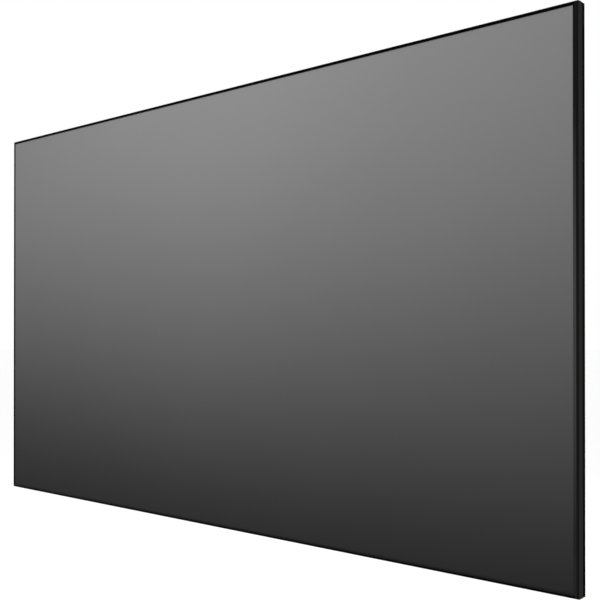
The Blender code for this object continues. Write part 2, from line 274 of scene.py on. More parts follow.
    def shell_line(self, offset: float, front_u: float, rear_u: float, steps: int = 14) -> list[Flat]:
        """What lies under the trim's outer face, at a depth under the frame's skin.

        Args:
            offset: Depth under the skin.
            front_u: Where the line starts, on the front.
            rear_u: Where it ends, on the rear.
            steps: Steps in the round rear edge.

        Returns:
            Points from the front, round the side, to the rear.
        """
        slope = math.hypot(self.chamfer_in, self.chamfer_back)
        front = (self.chamfer_in + offset * (slope - self.chamfer_in) / self.chamfer_back, offset)
        side = (offset, self.chamfer_back + offset * (slope - self.chamfer_back) / self.chamfer_in)
        centre_v = self.trim_depth - self.rail_bend
        rear = arc((self.rail_bend, centre_v), self.rail_bend - offset, 180, 90, steps)
        return [(front_u, offset), front, side, *rear, (rear_u, self.trim_depth - offset)]


def arc(centre: Flat, radius: float, start: float, end: float, steps: int) -> list[Flat]:
    """Points on a circle.

    Args:
        centre: Its middle.
        radius: Its radius.
        start: First angle, in degrees.
        end: Last angle, in degrees.
        steps: Number of steps.

    Returns:
        One more point than steps.
    """
    angles = [math.radians(start + (end - start) * i / steps) for i in range(steps + 1)]
    return [(centre[0] + radius * math.cos(a), centre[1] + radius * math.sin(a)) for a in angles]


def circle(centre: Flat, radius: float, steps: int = 36) -> list[Flat]:
    """A closed ring of points on a circle."""
    return arc(centre, radius, 0, 360, steps)[:-1]


def box_loop(low: Flat, high: Flat) -> list[Flat]:
    """The four corners of an upright rectangle."""
    return [low, (high[0], low[1]), high, (low[0], high[1])]


def filleted(loop: Sequence[Flat], radius: float, steps: int = 3) -> list[Flat]:
    """A closed outline with each corner rounded.

    Args:
        loop: The outline's corners.
        radius: The rounding, which short edges make smaller.
        steps: Steps in each rounding.

    Returns:
        The outline with an arc at each corner. Corners that hardly turn stay as they are.
    """
    made: list[Flat] = []
    count = len(loop)
    for i in range(count):
        corner = Vector(loop[i])
        before = Vector(loop[i - 1]) - corner
        after = Vector(loop[(i + 1) % count]) - corner
        turn = math.pi - before.angle(after)
        if turn < math.radians(25):
            made.append(loop[i])
            continue
        reach = min(radius * math.tan(turn / 2), before.length * 0.45, after.length * 0.45)
        start = corner + before.normalized() * reach
        end = corner + after.normalized() * reach
        for k in range(steps + 1):
            t = k / steps
            point = start * (1 - t) ** 2 + corner * 2 * t * (1 - t) + end * t**2
            made.append((point.x, point.y))
    return made


def swept(loops: Sequence[Sequence[Flat]], point_at: Callable[[float, float, int], Vector]) -> bmesh.types.BMesh:
    """A closed bmesh of flat loops carried between two ends.

    Args:
        loops: An outline, then its holes.
        point_at: Gives the point of (a, b) at end 0 or end 1.

    Returns:
        The sides and both caps.
    """
    bm = bmesh.new()
    ends: tuple[list, list] = ([], [])
    for loop in loops:
        rows = [[bm.verts.new(point_at(a, b, end)) for a, b in loop] for end in (0, 1)]
        for i in range(len(loop)):
            j = (i + 1) % len(loop)
            bm.faces.new((rows[0][i], rows[0][j], rows[1][j], rows[1][i]))
        for end in (0, 1):
            ends[end].extend(rows[end])
    flat = [[Vector((a, b, 0)) for a, b in loop] for loop in loops]
    caps = [bm.faces.new([ends[end][i] for i in triangle]) for triangle in tessellate_polygon(flat) for end in (0, 1)]
    cap_set = set(caps)
    within = [edge for edge in bm.edges if cap_set.issuperset(edge.link_faces)]
    bmesh.ops.beautify_fill(bm, faces=caps, edges=within, method="ANGLE")
    return bm


def lofted(rings: Sequence[Sequence[Vector]]) -> bmesh.types.BMesh:
    """A closed bmesh of rings with equal numbers of points, joined in order and capped.

    Args:
        rings: The rings, from first to last.

    Returns:
        The sides and both caps.
    """
    bm = bmesh.new()
    rows = [[bm.verts.new(point) for point in ring] for ring in rings]
    for first, second in zip(rows, rows[1:]):
        for i in range(len(first)):
            j = (i + 1) % len(first)
            bm.faces.new((first[i], first[j], second[j], second[i]))
    bm.faces.new(list(reversed(rows[0])))
    bm.faces.new(rows[-1])
    return bm


def tube_rings(path: Sequence[Vector], radius: float, sides: int) -> list[list[Vector]]:
    """Rings round a wire's middle line, each turned as little as possible from the last.

    Args:
        path: The wire's middle line.
        radius: The wire's radius.
        sides: Points in each ring.

    Returns:
        One ring for each point of the path.
    """
    rings = []
    normal = Vector((1, 0, 0))
    for i, point in enumerate(path):
        tangent = (path[min(i + 1, len(path) - 1)] - path[max(i - 1, 0)]).normalized()
        normal = (normal - tangent * normal.dot(tangent)).normalized()
        across = tangent.cross(normal)
        ring = []
        for k in range(sides):
            angle = 2 * math.pi * k / sides
            ring.append(point + (normal * math.cos(angle) + across * math.sin(angle)) * radius)
        rings.append(ring)
    return rings


def mitred(span: Flat, start_mitred: bool, end_mitred: bool, gap: float) -> Callable[[float, float, int], Vector]:
    """Makes a point_at for swept: a section along local x, with each end mitred or cut square.

    Args:
        span: Where the length starts and ends.
        start_mitred: Whether its start is mitred.
        end_mitred: Whether its end is mitred.
        gap: How far each end stands back.

    Returns:
        The function that swept calls.
    """
    start, end = span

    def point_at(u: float, v: float, which: int) -> Vector:
        """Gives the local point of (u, v) at one end.

        Args:
            u: Inward.
            v: Back.
            which: End 0 or end 1.

        Returns:
            The point.
        """
        if which == 0:
            return Vector((start + (u if start_mitred else 0) + gap, v, -u))
        return Vector((end - (u if end_mitred else 0) - gap, v, -u))

    return point_at


def mesh_object(bm: bmesh.types.BMesh, name: str, matrix: Matrix | None = None,
                sharp: float = SHARP) -> bpy.types.Object:
    """Turns a bmesh into an object at the origin, with its place in its mesh.

    Args:
        bm: The bmesh, which is freed.
        name: The object's name.
        matrix: From the bmesh's axes to the frame's.
        sharp: Edges that turn more than this many degrees stay sharp.

    Returns:
        The new object, with outward faces.
    """
    if matrix is not None:
        bm.transform(matrix)
    bm.normal_update()
    bmesh.ops.recalc_face_normals(bm, faces=bm.faces)
    mesh = bpy.data.meshes.new(name)
    bm.to_mesh(mesh)
    bm.free()
    mesh.shade_smooth()
    mesh.set_sharp_from_angle(angle=math.radians(sharp))
    obj = bpy.data.objects.new(name, mesh)
    bpy.context.scene.collection.objects.link(obj)
    return obj


def baked(obj: bpy.types.Object) -> bpy.types.Mesh:
    """Swaps an object's mesh for what its modifiers make of it, and removes them.

    Args:
        obj: An object with modifiers.

    Returns:
        The object's new mesh.
    """
    graph = bpy.context.evaluated_depsgraph_get()
    mesh = bpy.data.meshes.new_from_object(obj.evaluated_get(graph))
    obj.modifiers.clear()
    old = obj.data
    obj.data = mesh
    bpy.data.meshes.remove(old)
    mesh.name = obj.name
    return mesh


def applied(obj: bpy.types.Object, sharp: float = SHARP) -> bpy.types.Object:
    """Turns an object's modifiers into a plain, smoothly shaded mesh.

    Args:
        obj: An object with modifiers.
        sharp: Edges that turn more than this many degrees stay sharp.

    Returns:
        The same object, with no modifiers left.
    """
    mesh = baked(obj)
    mesh.shade_smooth()
    mesh.set_sharp_from_angle(angle=math.radians(sharp))
    return obj


def softened(obj: bpy.types.Object, width: float, segments: int = 2) -> bpy.types.Object:
    """Rounds an object's sharp edges.

    Args:
        obj: The object.
        width: How far the rounding reaches.
        segments: Steps in it.

    Returns:
        The same object.
    """
    bevel = obj.modifiers.new("edge_rounding", "BEVEL")
    bevel.width = width
    bevel.segments = segments
    bevel.limit_method = "ANGLE"
    bevel.angle_limit = math.radians(40)
    bevel.harden_normals = False
    return applied(obj)


def merged_copy(node: str, name: str) -> bpy.types.Object:
    """A copy of a CAD node's mesh with its loose triangles merged into flat faces.

    Args:
        node: The CAD node.
        name: The copy's name.

    Returns:
        The new object.
    """
    bm = bmesh.new()
    bm.from_mesh(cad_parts[node].data)
    bmesh.ops.remove_doubles(bm, verts=bm.verts, dist=1e-6)
    bmesh.ops.dissolve_limit(bm, angle_limit=math.radians(1), verts=bm.verts, edges=bm.edges)
    return mesh_object(bm, name)


def evened(obj: bpy.types.Object) -> None:
    """Lets the broad flat faces lead the shading, so that they look flat beside their rounded edges.

    Args:
        obj: The object.
    """
    weighted = obj.modifiers.new("even_shading", "WEIGHTED_NORMAL")
    weighted.keep_sharp = True
    baked(obj)


def put_on(obj: bpy.types.Object, look: bpy.types.Material, slot: str, *nodes: str) -> bpy.types.Object:
    """Gives a piece its material and its body, and hides the nodes that it stands for.

    Args:
        obj: The piece.
        look: Its material, unless it has materials already.
        slot: Not used; the record's material slot that its finish belongs to.
        *nodes: The CAD nodes that it replaces.

    Returns:
        The same piece.
    """
    evened(obj)
    if not obj.data.materials:
        obj.data.materials.append(look)
    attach(obj, BODY)
    if nodes:
        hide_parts(*nodes)
    LOG.info("%s: %d faces", obj.name, len(obj.data.polygons))
    return obj


class Shader:
    """A material's node tree, with short calls for the nodes that the finishes share."""

    def __init__(self, name: str) -> None:
        """Starts a material with one Principled BSDF.

        Args:
            name: The material's name.
        """
        self.material = bpy.data.materials.new(name)
        self.material.use_nodes = True
        self.tree = self.material.node_tree
        self.surface = self.tree.nodes["Principled BSDF"]
        self.place = self.tree.nodes.new("ShaderNodeTexCoord").outputs["Object"]

    def node(self, kind: str, links: dict | None = None, **settings: object) -> bpy.types.Node:
        """Adds a node.

        Args:
            kind: The node's type.
            links: Input name or number to a socket to link, or a value to set.
            **settings: Properties of the node.

        Returns:
            The new node.
        """
        made = self.tree.nodes.new(kind)
        for key, value in settings.items():
            setattr(made, key, value)
        for key, value in (links or {}).items():
            self.feed(made.inputs[key], value)
        return made

    def feed(self, socket: bpy.types.NodeSocket, value: object) -> None:
        """Links a socket to another, or sets its value.

        Args:
            socket: The input.
            value: Another node's output, or a plain value.
        """
        if isinstance(value, bpy.types.NodeSocket):
            self.tree.links.new(value, socket)
        else:
            socket.default_value = value

    def scaled(self, scale: Sequence[float]) -> bpy.types.NodeSocket:
        """The object's own coordinates, scaled along each axis."""
        return self.node("ShaderNodeMapping", {"Vector": self.place, "Scale": scale}).outputs[0]

    def noise(self, scale: float, detail: float = 3, roughness: float = 0.5,
              vector: bpy.types.NodeSocket | None = None) -> bpy.types.NodeSocket:
        """Noise from 0 to 1."""
        links = {"Vector": vector or self.place, "Scale": scale, "Detail": detail, "Roughness": roughness}
        return self.node("ShaderNodeTexNoise", links).outputs["Fac"]

    def ranged(self, value: bpy.types.NodeSocket, low: float, high: float, to_low: float, to_high: float,
               smooth: bool = False) -> bpy.types.NodeSocket:
        """A value carried from one range to another, and held within it.

        Args:
            value: The value.
            low: Where its range starts.
            high: Where its range ends.
            to_low: What low becomes.
            to_high: What high becomes.
            smooth: Whether the change is eased at both ends.

        Returns:
            The new value.
        """
        links = {"Value": value, "From Min": low, "From Max": high, "To Min": to_low, "To Max": to_high}
        kind = "SMOOTHSTEP" if smooth else "LINEAR"
        return self.node("ShaderNodeMapRange", links, interpolation_type=kind).outputs["Result"]

    def maths(self, operation: str, first: object, second: object = 0.0) -> bpy.types.NodeSocket:
        """One sum of two values."""
        return self.node("ShaderNodeMath", {0: first, 1: second}, operation=operation).outputs[0]

    def mixed(self, share: object, first: object, second: object) -> bpy.types.NodeSocket:
        """A mix of two colours.

        Args:
            share: How much of the second colour, from 0 to 1.
            first: A colour, or a socket that gives one.
            second: A colour, or a socket that gives one.

        Returns:
            The mixed colour.
        """
        made = self.node("ShaderNodeMix", data_type="RGBA")
        self.feed(made.inputs[0], share)
        self.feed(made.inputs[6], first if isinstance(first, bpy.types.NodeSocket) else (*first, 1))
        self.feed(made.inputs[7], second if isinstance(second, bpy.types.NodeSocket) else (*second, 1))
        return made.outputs[2]

    def bump(self, height: bpy.types.NodeSocket, strength: float, distance: float) -> None:
        """Raises the surface by a height, on top of any bump that is there.

        Args:
            height: The height, from 0 to 1.
            strength: How much of it shows.
            distance: How far a height of 1 stands out.
        """
        made = self.node("ShaderNodeBump", {"Height": height, "Strength": strength, "Distance": distance})
        before = self.surface.inputs["Normal"].links
        if before:
            self.tree.links.new(before[0].from_socket, made.inputs["Normal"])
        self.tree.links.new(made.outputs[0], self.surface.inputs["Normal"])

    def edges(self, radius: float) -> bpy.types.NodeSocket:
        """How near a point is to a sharp edge.

        Args:
            radius: How far from an edge it is felt.

        Returns:
            From 0 on a flat face to 1 at an edge.
        """
        rounded = self.node("ShaderNodeBevel", {"Radius": radius}, samples=4).outputs[0]
        plain = self.node("ShaderNodeNewGeometry").outputs["Normal"]
        along = self.node("ShaderNodeVectorMath", {0: rounded, 1: plain}, operation="DOT_PRODUCT").outputs["Value"]
        return self.ranged(along, 1.0, 0.86, 0.0, 1.0)

    def set(self, **values: object) -> None:
        """Feeds inputs of the surface, named with underscores for spaces."""
        for key, value in values.items():
            self.feed(self.surface.inputs[key.replace("_", " ")], value)


def grey(level: float) -> Colour:
    """A plain grey, from its display value.

    Args:
        level: Display value, out of 255.

    Returns:
        The grey as a linear colour.
    """
    share = level / 255
    linear = share / 12.92 if share <= 0.04045 else ((share + 0.055) / 1.055) ** 2.4
    return (linear, linear, linear)


@dataclass(frozen=True)
class ScreenCoat:
    """The picture face: a dark grey optical coat with a fine satin grain, its colour painted paler at the head and the
    middle and darker at the foot, as painted light and shade.

    Args:
        half_height: Half the height of the picture.
        head: Display level of the painted-light tone at the picture's head, out of 255.
        foot: Display level of the painted-shade tone at its foot.
        fall: How fast the painted light falls off to each side, per metre.
        soften: How broad the palest part of the painted light is.
        specular: Specular level.
    """

    half_height: float
    head: float = 147.0
    foot: float = 45.0
    fall: float = 0.20
    soften: float = 0.25
    specular: float = 0.05

    def build(self) -> bpy.types.Material:
        """Builds the coat's material.

        Returns:
            The material.
        """
        s = Shader("screen_coat")
        # Painted light and shade: the colour runs from pale at the head to dark at the foot, and is paler in the
        # middle than at the sides.
        spread = s.node("ShaderNodeSeparateXYZ", {0: s.place})
        straight = s.ranged(spread.outputs["Z"], -self.half_height, self.half_height, 0.0, 0.5)
        eased = s.ranged(spread.outputs["Z"], -self.half_height, self.half_height, 0.0, 0.5, smooth=True)
        tone = s.mixed(s.maths("ADD", straight, eased), grey(self.foot), grey(self.head))
        squared = s.maths("MULTIPLY", spread.outputs["X"], spread.outputs["X"])
        sideways = s.maths("SQRT", s.maths("ADD", squared, self.soften**2))
        painted_side_fade = s.maths("SUBTRACT", 1.0 + self.fall * self.soften, s.maths("MULTIPLY", sideways, self.fall))
        grain = s.ranged(s.noise(2600, 2), 0.3, 0.7, 0.965, 1.035)
        cloudy = s.ranged(s.noise(2.2, 2), 0.3, 0.7, 0.985, 1.015)
        factor = s.maths("MULTIPLY", s.maths("MULTIPLY", painted_side_fade, grain), cloudy)
        shaded = s.node("ShaderNodeVectorMath", {0: tone, 3: factor}, operation="SCALE")
        s.set(Base_Color=shaded.outputs[0], Roughness=s.ranged(s.noise(1400, 2), 0.3, 0.7, 0.56, 0.66))
        s.set(Specular_IOR_Level=self.specular)
        ridges = s.node("ShaderNodeTexWave", {"Vector": s.place, "Scale": 420.0, "Distortion": 0.0},
                        wave_type="BANDS", bands_direction="Z").outputs["Fac"]
        s.bump(ridges, 0.05, 0.00002)
        s.bump(s.noise(1800, 3, 0.6), 0.08, 0.00003)
        return s.material


@dataclass(frozen=True)
class WovenBacking:
    """The cloth's back: a black plain weave that lets no light through.

    Args:
        pitch: Distance from thread to thread.
        wave_unit: Scale of a wave texture that gives one thread per metre.
    """

    pitch: float = 0.0007
    wave_unit: float = 0.314159

    def build(self) -> bpy.types.Material:
        """Builds the backing's material.

        Returns:
            The material.
        """
        s = Shader("woven_backing")
        wave = self.wave_unit / self.pitch
        warp = s.node("ShaderNodeTexWave", {"Vector": s.place, "Scale": wave}, bands_direction="X").outputs["Fac"]
        weft = s.node("ShaderNodeTexWave", {"Vector": s.place, "Scale": wave}, bands_direction="Z").outputs["Fac"]
        threads = s.maths("MULTIPLY", warp, weft)
        worn = s.ranged(s.noise(6, 3), 0.35, 0.65, 0.0, 1.0)
        thread = s.mixed(threads, (0.006, 0.006, 0.007), (0.020, 0.020, 0.022))
        s.set(Base_Color=s.mixed(s.maths("MULTIPLY", worn, 0.35), thread, (0.026, 0.026, 0.028)))
        s.set(Roughness=s.ranged(worn, 0, 1, 0.82, 0.92), Specular_IOR_Level=0.2, Sheen_Weight=0.15)
        s.set(Sheen_Roughness=0.5)
        s.bump(threads, 0.6, 0.00012)
        return s.material


@dataclass(frozen=True)
class AnodisedBlack:
    """Black anodised aluminium: fine drawn lines, faint dust, and edges rubbed a little paler; where asked, a painted
    highlight and painted shade and shadow by height.

    Args:
        name: The material's name.
        grain: The way that the lines run.
        colour: The coat's colour.
        rubbed: The colour of rubbed edges.
        roughness: Its middle roughness.
        specular: Specular level.
        painted_highlight: How pale a painted highlight makes the metal near half way up the frame.
        painted_highlight_core: How far above and below the painted highlight keeps its full strength.
        painted_highlight_reach: How far above and below the painted highlight fades out, and the height where the
            painted shade at the head is full.
        painted_highlight_height: Where the painted highlight is strongest.
        head_from: Height from which painted shade darkens the metal towards the frame's head.
        head_share: How much of its tone the metal keeps under the painted shade at the frame's head.
        shaded_below: Height under which the metal is painted black, as a painted shadow along the bottom strip's outer
            edge.
        shade_blend: How far above that the painted shadow fades out.
    """

    name: str
    grain: Grain
    colour: Colour = (0.0078, 0.0078, 0.0080)
    rubbed: Colour = (0.020, 0.020, 0.021)
    roughness: float = 0.32
    specular: float = 0.025
    painted_highlight: float = 0.0
    painted_highlight_core: float = 0.08
    painted_highlight_reach: float = 0.50
    painted_highlight_height: float = -0.05
    head_from: float = 0.1
    head_share: float = 0.47
    shaded_below: float | None = None
    shade_blend: float = 0.0015

    @classmethod
    def black_strip(cls, name: str, grain: Grain) -> "AnodisedBlack":
        """A front strip painted near black as painted shade where the light misses it, with a dull, low-sheen surface.
        """
        return cls(name, grain, (0.0012, 0.0012, 0.0013), (0.004, 0.004, 0.004), 0.4, 0.008)

    def build(self) -> bpy.types.Material:
        """Builds the anodised material.

        Returns:
            The material.
        """
        s = Shader(self.name)
        lines = s.noise(2400, 2, 0.6, s.scaled(self.grain.value))
        cloud = s.noise(9, 4, 0.6)
        rubs = s.maths("MULTIPLY", s.edges(0.0006), s.ranged(s.noise(45, 4), 0.42, 0.62, 0.15, 1.0))
        base = s.mixed(s.ranged(cloud, 0.3, 0.7, 0.0, 0.4), self.colour, [c * 1.6 for c in self.colour])
        # Painted shade towards the frame's head, and a painted highlight near half way up, when a painted highlight is
        # given.
        if self.painted_highlight:
            height = s.node("ShaderNodeSeparateXYZ", {0: s.place}).outputs["Z"]
            head = s.ranged(height, self.head_from, self.painted_highlight_reach, 0.0, 1.0, smooth=True)
            base = s.mixed(head, base, [c * self.head_share for c in self.colour])
            away = s.maths("ABSOLUTE", s.maths("SUBTRACT", height, self.painted_highlight_height))
            painted_highlight_share = s.ranged(away, self.painted_highlight_core, self.painted_highlight_reach, 1.0, 0.0, smooth=True)
            base = s.mixed(painted_highlight_share, base, [self.painted_highlight] * 3)
        base = s.mixed(s.maths("MULTIPLY", rubs, 0.55), base, self.rubbed)
        # Painted shadow: below this height the colour is mixed to black.
        if self.shaded_below is not None:
            height = s.node("ShaderNodeSeparateXYZ", {0: s.place}).outputs["Z"]
            lit = s.ranged(height, self.shaded_below, self.shaded_below + self.shade_blend, 0.0, 1.0, smooth=True)
            base = s.mixed(lit, (0, 0, 0), base)
        s.set(Base_Color=base)
        wear = s.maths("ADD", s.ranged(lines, 0.3, 0.7, -0.05, 0.05), s.ranged(cloud, 0.3, 0.7, -0.04, 0.06))
        s.set(Roughness=s.maths("ADD", wear, self.roughness), Specular_IOR_Level=self.specular)
        s.bump(lines, 0.10, 0.00002)
        return s.material


@dataclass(frozen=True)
class MillAluminium:
    """Bare extruded aluminium, with the lines of its die along its length.

    Args:
        name: The material's name.
        grain: The way that the lines run.
    """

    name: str
    grain: Grain

    def build(self) -> bpy.types.Material:
        """Builds the aluminium.

        Returns:
            The material.
        """
        s = Shader(self.name)
        fine = s.noise(2200, 3, 0.65, s.scaled(self.grain.value))
        broad = s.noise(260, 2, 0.5, s.scaled(self.grain.value))
        cloud = s.noise(7, 4, 0.55)
        tone = s.mixed(s.ranged(broad, 0.3, 0.7, 0.0, 1.0), (0.36, 0.365, 0.37), (0.46, 0.465, 0.47))
        s.set(Base_Color=s.mixed(s.ranged(cloud, 0.45, 0.7, 0.0, 0.35), tone, (0.31, 0.315, 0.32)))
        rough = s.maths("ADD", s.ranged(fine, 0.3, 0.7, -0.07, 0.07), s.ranged(cloud, 0.3, 0.7, 0.34, 0.46))
        s.set(Metallic=1.0, Roughness=rough)
        s.bump(fine, 0.16, 0.00003)
        return s.material


@dataclass(frozen=True)
class ZincPlate:
    """Zinc-plated steel with a faint blue cast and cloudy crystals."""

    def build(self) -> bpy.types.Material:
        """Builds the zinc plating.

        Returns:
            The material.
        """
        s = Shader("zinc_plate")
        cells = s.node("ShaderNodeTexVoronoi", {"Vector": s.place, "Scale": 300.0}, feature="SMOOTH_F1")
        cloud = s.noise(60, 4, 0.6)
        tone = s.mixed(s.ranged(cells.outputs["Distance"], 0.1, 0.7, 0, 1), (0.33, 0.35, 0.385), (0.42, 0.435, 0.455))
        s.set(Base_Color=s.mixed(s.ranged(cloud, 0.5, 0.7, 0, 0.4), tone, (0.36, 0.36, 0.33)))
        s.set(Metallic=1.0, Roughness=s.ranged(cloud, 0.3, 0.7, 0.30, 0.44))
        s.bump(cells.outputs["Distance"], 0.05, 0.00003)
        return s.material


@dataclass(frozen=True)
class Steel:
    """Hard steel: bright wire or black oxide, with fine scratches.

    Args:
        name: The material's name.
        colour: Its colour.
        roughness: Its middle roughness.
    """

    name: str
    colour: Colour
    roughness: float

    def build(self) -> bpy.types.Material:
        """Builds the steel.

        Returns:
            The material.
        """
        s = Shader(self.name)
        scratch = s.noise(900, 4, 0.7)
        cloud = s.noise(120, 3)
        dark = [c * 0.7 for c in self.colour]
        s.set(Base_Color=s.mixed(s.ranged(cloud, 0.35, 0.7, 0.0, 0.8), self.colour, dark), Metallic=1.0)
        s.set(Roughness=s.ranged(scratch, 0.3, 0.7, self.roughness - 0.06, self.roughness + 0.10))
        s.bump(scratch, 0.08, 0.00002)
        return s.material


@dataclass(frozen=True)
class MouldedPlastic:
    """Black moulded plastic with a fine spark-eroded grain."""

    def build(self) -> bpy.types.Material:
        """Builds the plastic.

        Returns:
            The material.
        """
        s = Shader("moulded_plug")
        grain = s.noise(1900, 2, 0.6)
        patches = s.ranged(s.noise(80, 3), 0.3, 0.7, 0, 1)
        s.set(Base_Color=s.mixed(patches, (0.012, 0.012, 0.013), (0.024, 0.024, 0.025)))
        s.set(Roughness=s.ranged(grain, 0.3, 0.7, 0.52, 0.66), Specular_IOR_Level=0.4)
        s.bump(grain, 0.3, 0.00005)
        return s.material


@dataclass(frozen=True)
class PowderCoat:
    """Black powder coat: a fine orange-peel skin, worn a little at its edges."""

    def build(self) -> bpy.types.Material:
        """Builds the powder coat.

        Returns:
            The material.
        """
        s = Shader("powder_coat")
        peel = s.noise(700, 2, 0.5)
        worn = s.maths("MULTIPLY", s.edges(0.0008), s.ranged(s.noise(160, 4), 0.5, 0.66, 0.0, 1.0))
        base = s.mixed(s.ranged(s.noise(30, 3), 0.3, 0.7, 0, 1), (0.012, 0.012, 0.013), (0.020, 0.020, 0.021))
        s.set(Base_Color=s.mixed(worn, base, (0.09, 0.09, 0.095)))
        s.set(Roughness=s.ranged(peel, 0.3, 0.7, 0.42, 0.58), Specular_IOR_Level=0.45)
        s.bump(peel, 0.25, 0.00006)
        return s.material


@dataclass(frozen=True)
class PaleFloor:
    """The floor's paint. The camera sees it near white, with the object's soft shadow on it.

    Args:
        shown: Strength of the glow that the camera and reflections see.
    """

    shown: float = 0.37

    def build(self) -> bpy.types.Material:
        """Builds the floor's material.

        Returns:
            The material.
        """
        s = Shader("pale_floor")
        s.set(Base_Color=(0.80, 0.80, 0.80, 1.0), Roughness=0.9, Specular_IOR_Level=0.1)
        ray = s.node("ShaderNodeLightPath").outputs
        mirrored = s.maths("MAXIMUM", ray["Is Glossy Ray"], ray["Is Transmission Ray"])
        seen = s.maths("MAXIMUM", ray["Is Camera Ray"], mirrored)
        glow = s.node("ShaderNodeEmission", {"Color": (1, 1, 1, 1), "Strength": s.maths("MULTIPLY", seen, self.shown)})
        both = s.node("ShaderNodeAddShader", {0: s.surface.outputs[0], 1: glow.outputs[0]})
        s.tree.links.new(both.outputs[0], s.tree.nodes["Material Output"].inputs["Surface"])
        return s.material


class RowTree:
    """A Geometry Nodes tree that repeats a piece on a line or on given points."""

    @staticmethod
    def _start(name: str, sockets: Sequence[tuple[str, str]]) -> bpy.types.NodeTree:
        """Starts a tree with a geometry input and output and the named inputs.

        Args:
            name: The tree's name.
            sockets: Name and type of each input.

        Returns:
            The tree.
        """
        tree = bpy.data.node_groups.new(name, "GeometryNodeTree")
        tree.interface.new_socket("Geometry", in_out="INPUT", socket_type="NodeSocketGeometry")
        for label, kind in sockets:
            tree.interface.new_socket(label, in_out="INPUT", socket_type=kind)
        tree.interface.new_socket("Geometry", in_out="OUTPUT", socket_type="NodeSocketGeometry")
        return tree

    @staticmethod
    def _finish(tree: bpy.types.NodeTree, points: bpy.types.NodeSocket, given: bpy.types.Node) -> None:
        """Instances the piece on the points, realises it and gives it its finish.

        Args:
            tree: The tree.
            points: Where the piece goes.
            given: The tree's input node.
        """
        nodes = tree.nodes
        info = nodes.new("GeometryNodeObjectInfo")
        info.transform_space = "ORIGINAL"
        instance = nodes.new("GeometryNodeInstanceOnPoints")
        real = nodes.new("GeometryNodeRealizeInstances")
        look = nodes.new("GeometryNodeSetMaterial")
        out = nodes.new("NodeGroupOutput")
        link = tree.links.new
        link(given.outputs["Piece"], info.inputs["Object"])
        link(points, instance.inputs["Points"])
        link(info.outputs["Geometry"], instance.inputs["Instance"])
        link(instance.outputs[0], real.inputs[0])
        link(real.outputs[0], look.inputs["Geometry"])
        link(given.outputs["Finish"], look.inputs["Material"])
        link(look.outputs[0], out.inputs[0])

    @classmethod
    def on_line(cls) -> bpy.types.NodeTree:
        """Makes a tree that repeats a piece at even steps along a line.

        Returns:
            The tree.
        """
        sockets = (("Piece", "NodeSocketObject"), ("Count", "NodeSocketInt"), ("Start", "NodeSocketVector"),
                   ("Step", "NodeSocketVector"), ("Finish", "NodeSocketMaterial"))
        tree = cls._start("row_on_line", sockets)
        given = tree.nodes.new("NodeGroupInput")
        line = tree.nodes.new("GeometryNodeMeshLine")
        line.mode = "OFFSET"
        tree.links.new(given.outputs["Count"], line.inputs["Count"])
        tree.links.new(given.outputs["Start"], line.inputs["Start Location"])
        tree.links.new(given.outputs["Step"], line.inputs["Offset"])
        cls._finish(tree, line.outputs[0], given)
        return tree

    @classmethod
    def on_points(cls) -> bpy.types.NodeTree:
        """Makes a tree that repeats a piece on the points of the mesh that it is given.

        Returns:
            The tree.
        """
        tree = cls._start("rows_on_points", (("Piece", "NodeSocketObject"), ("Finish", "NodeSocketMaterial")))
        given = tree.nodes.new("NodeGroupInput")
        cls._finish(tree, given.outputs["Geometry"], given)
        return tree

    @staticmethod
    def run(obj: bpy.types.Object, tree: bpy.types.NodeTree, values: dict[str, object]) -> bpy.types.Object:
        """Runs a tree on an object and keeps the result as a plain mesh.

        Args:
            obj: The object that takes the result.
            tree: The tree.
            values: The tree's named inputs.

        Returns:
            The same object, with no modifiers left.
        """
        modifier = obj.modifiers.new("row", "NODES")
        modifier.node_group = tree
        for item in tree.interface.items_tree:
            if item.in_out == "INPUT" and item.name in values:
                modifier[item.identifier] = values[item.name]
        obj.update_tag()
        bpy.context.view_layer.update()
        return applied(obj, 40)


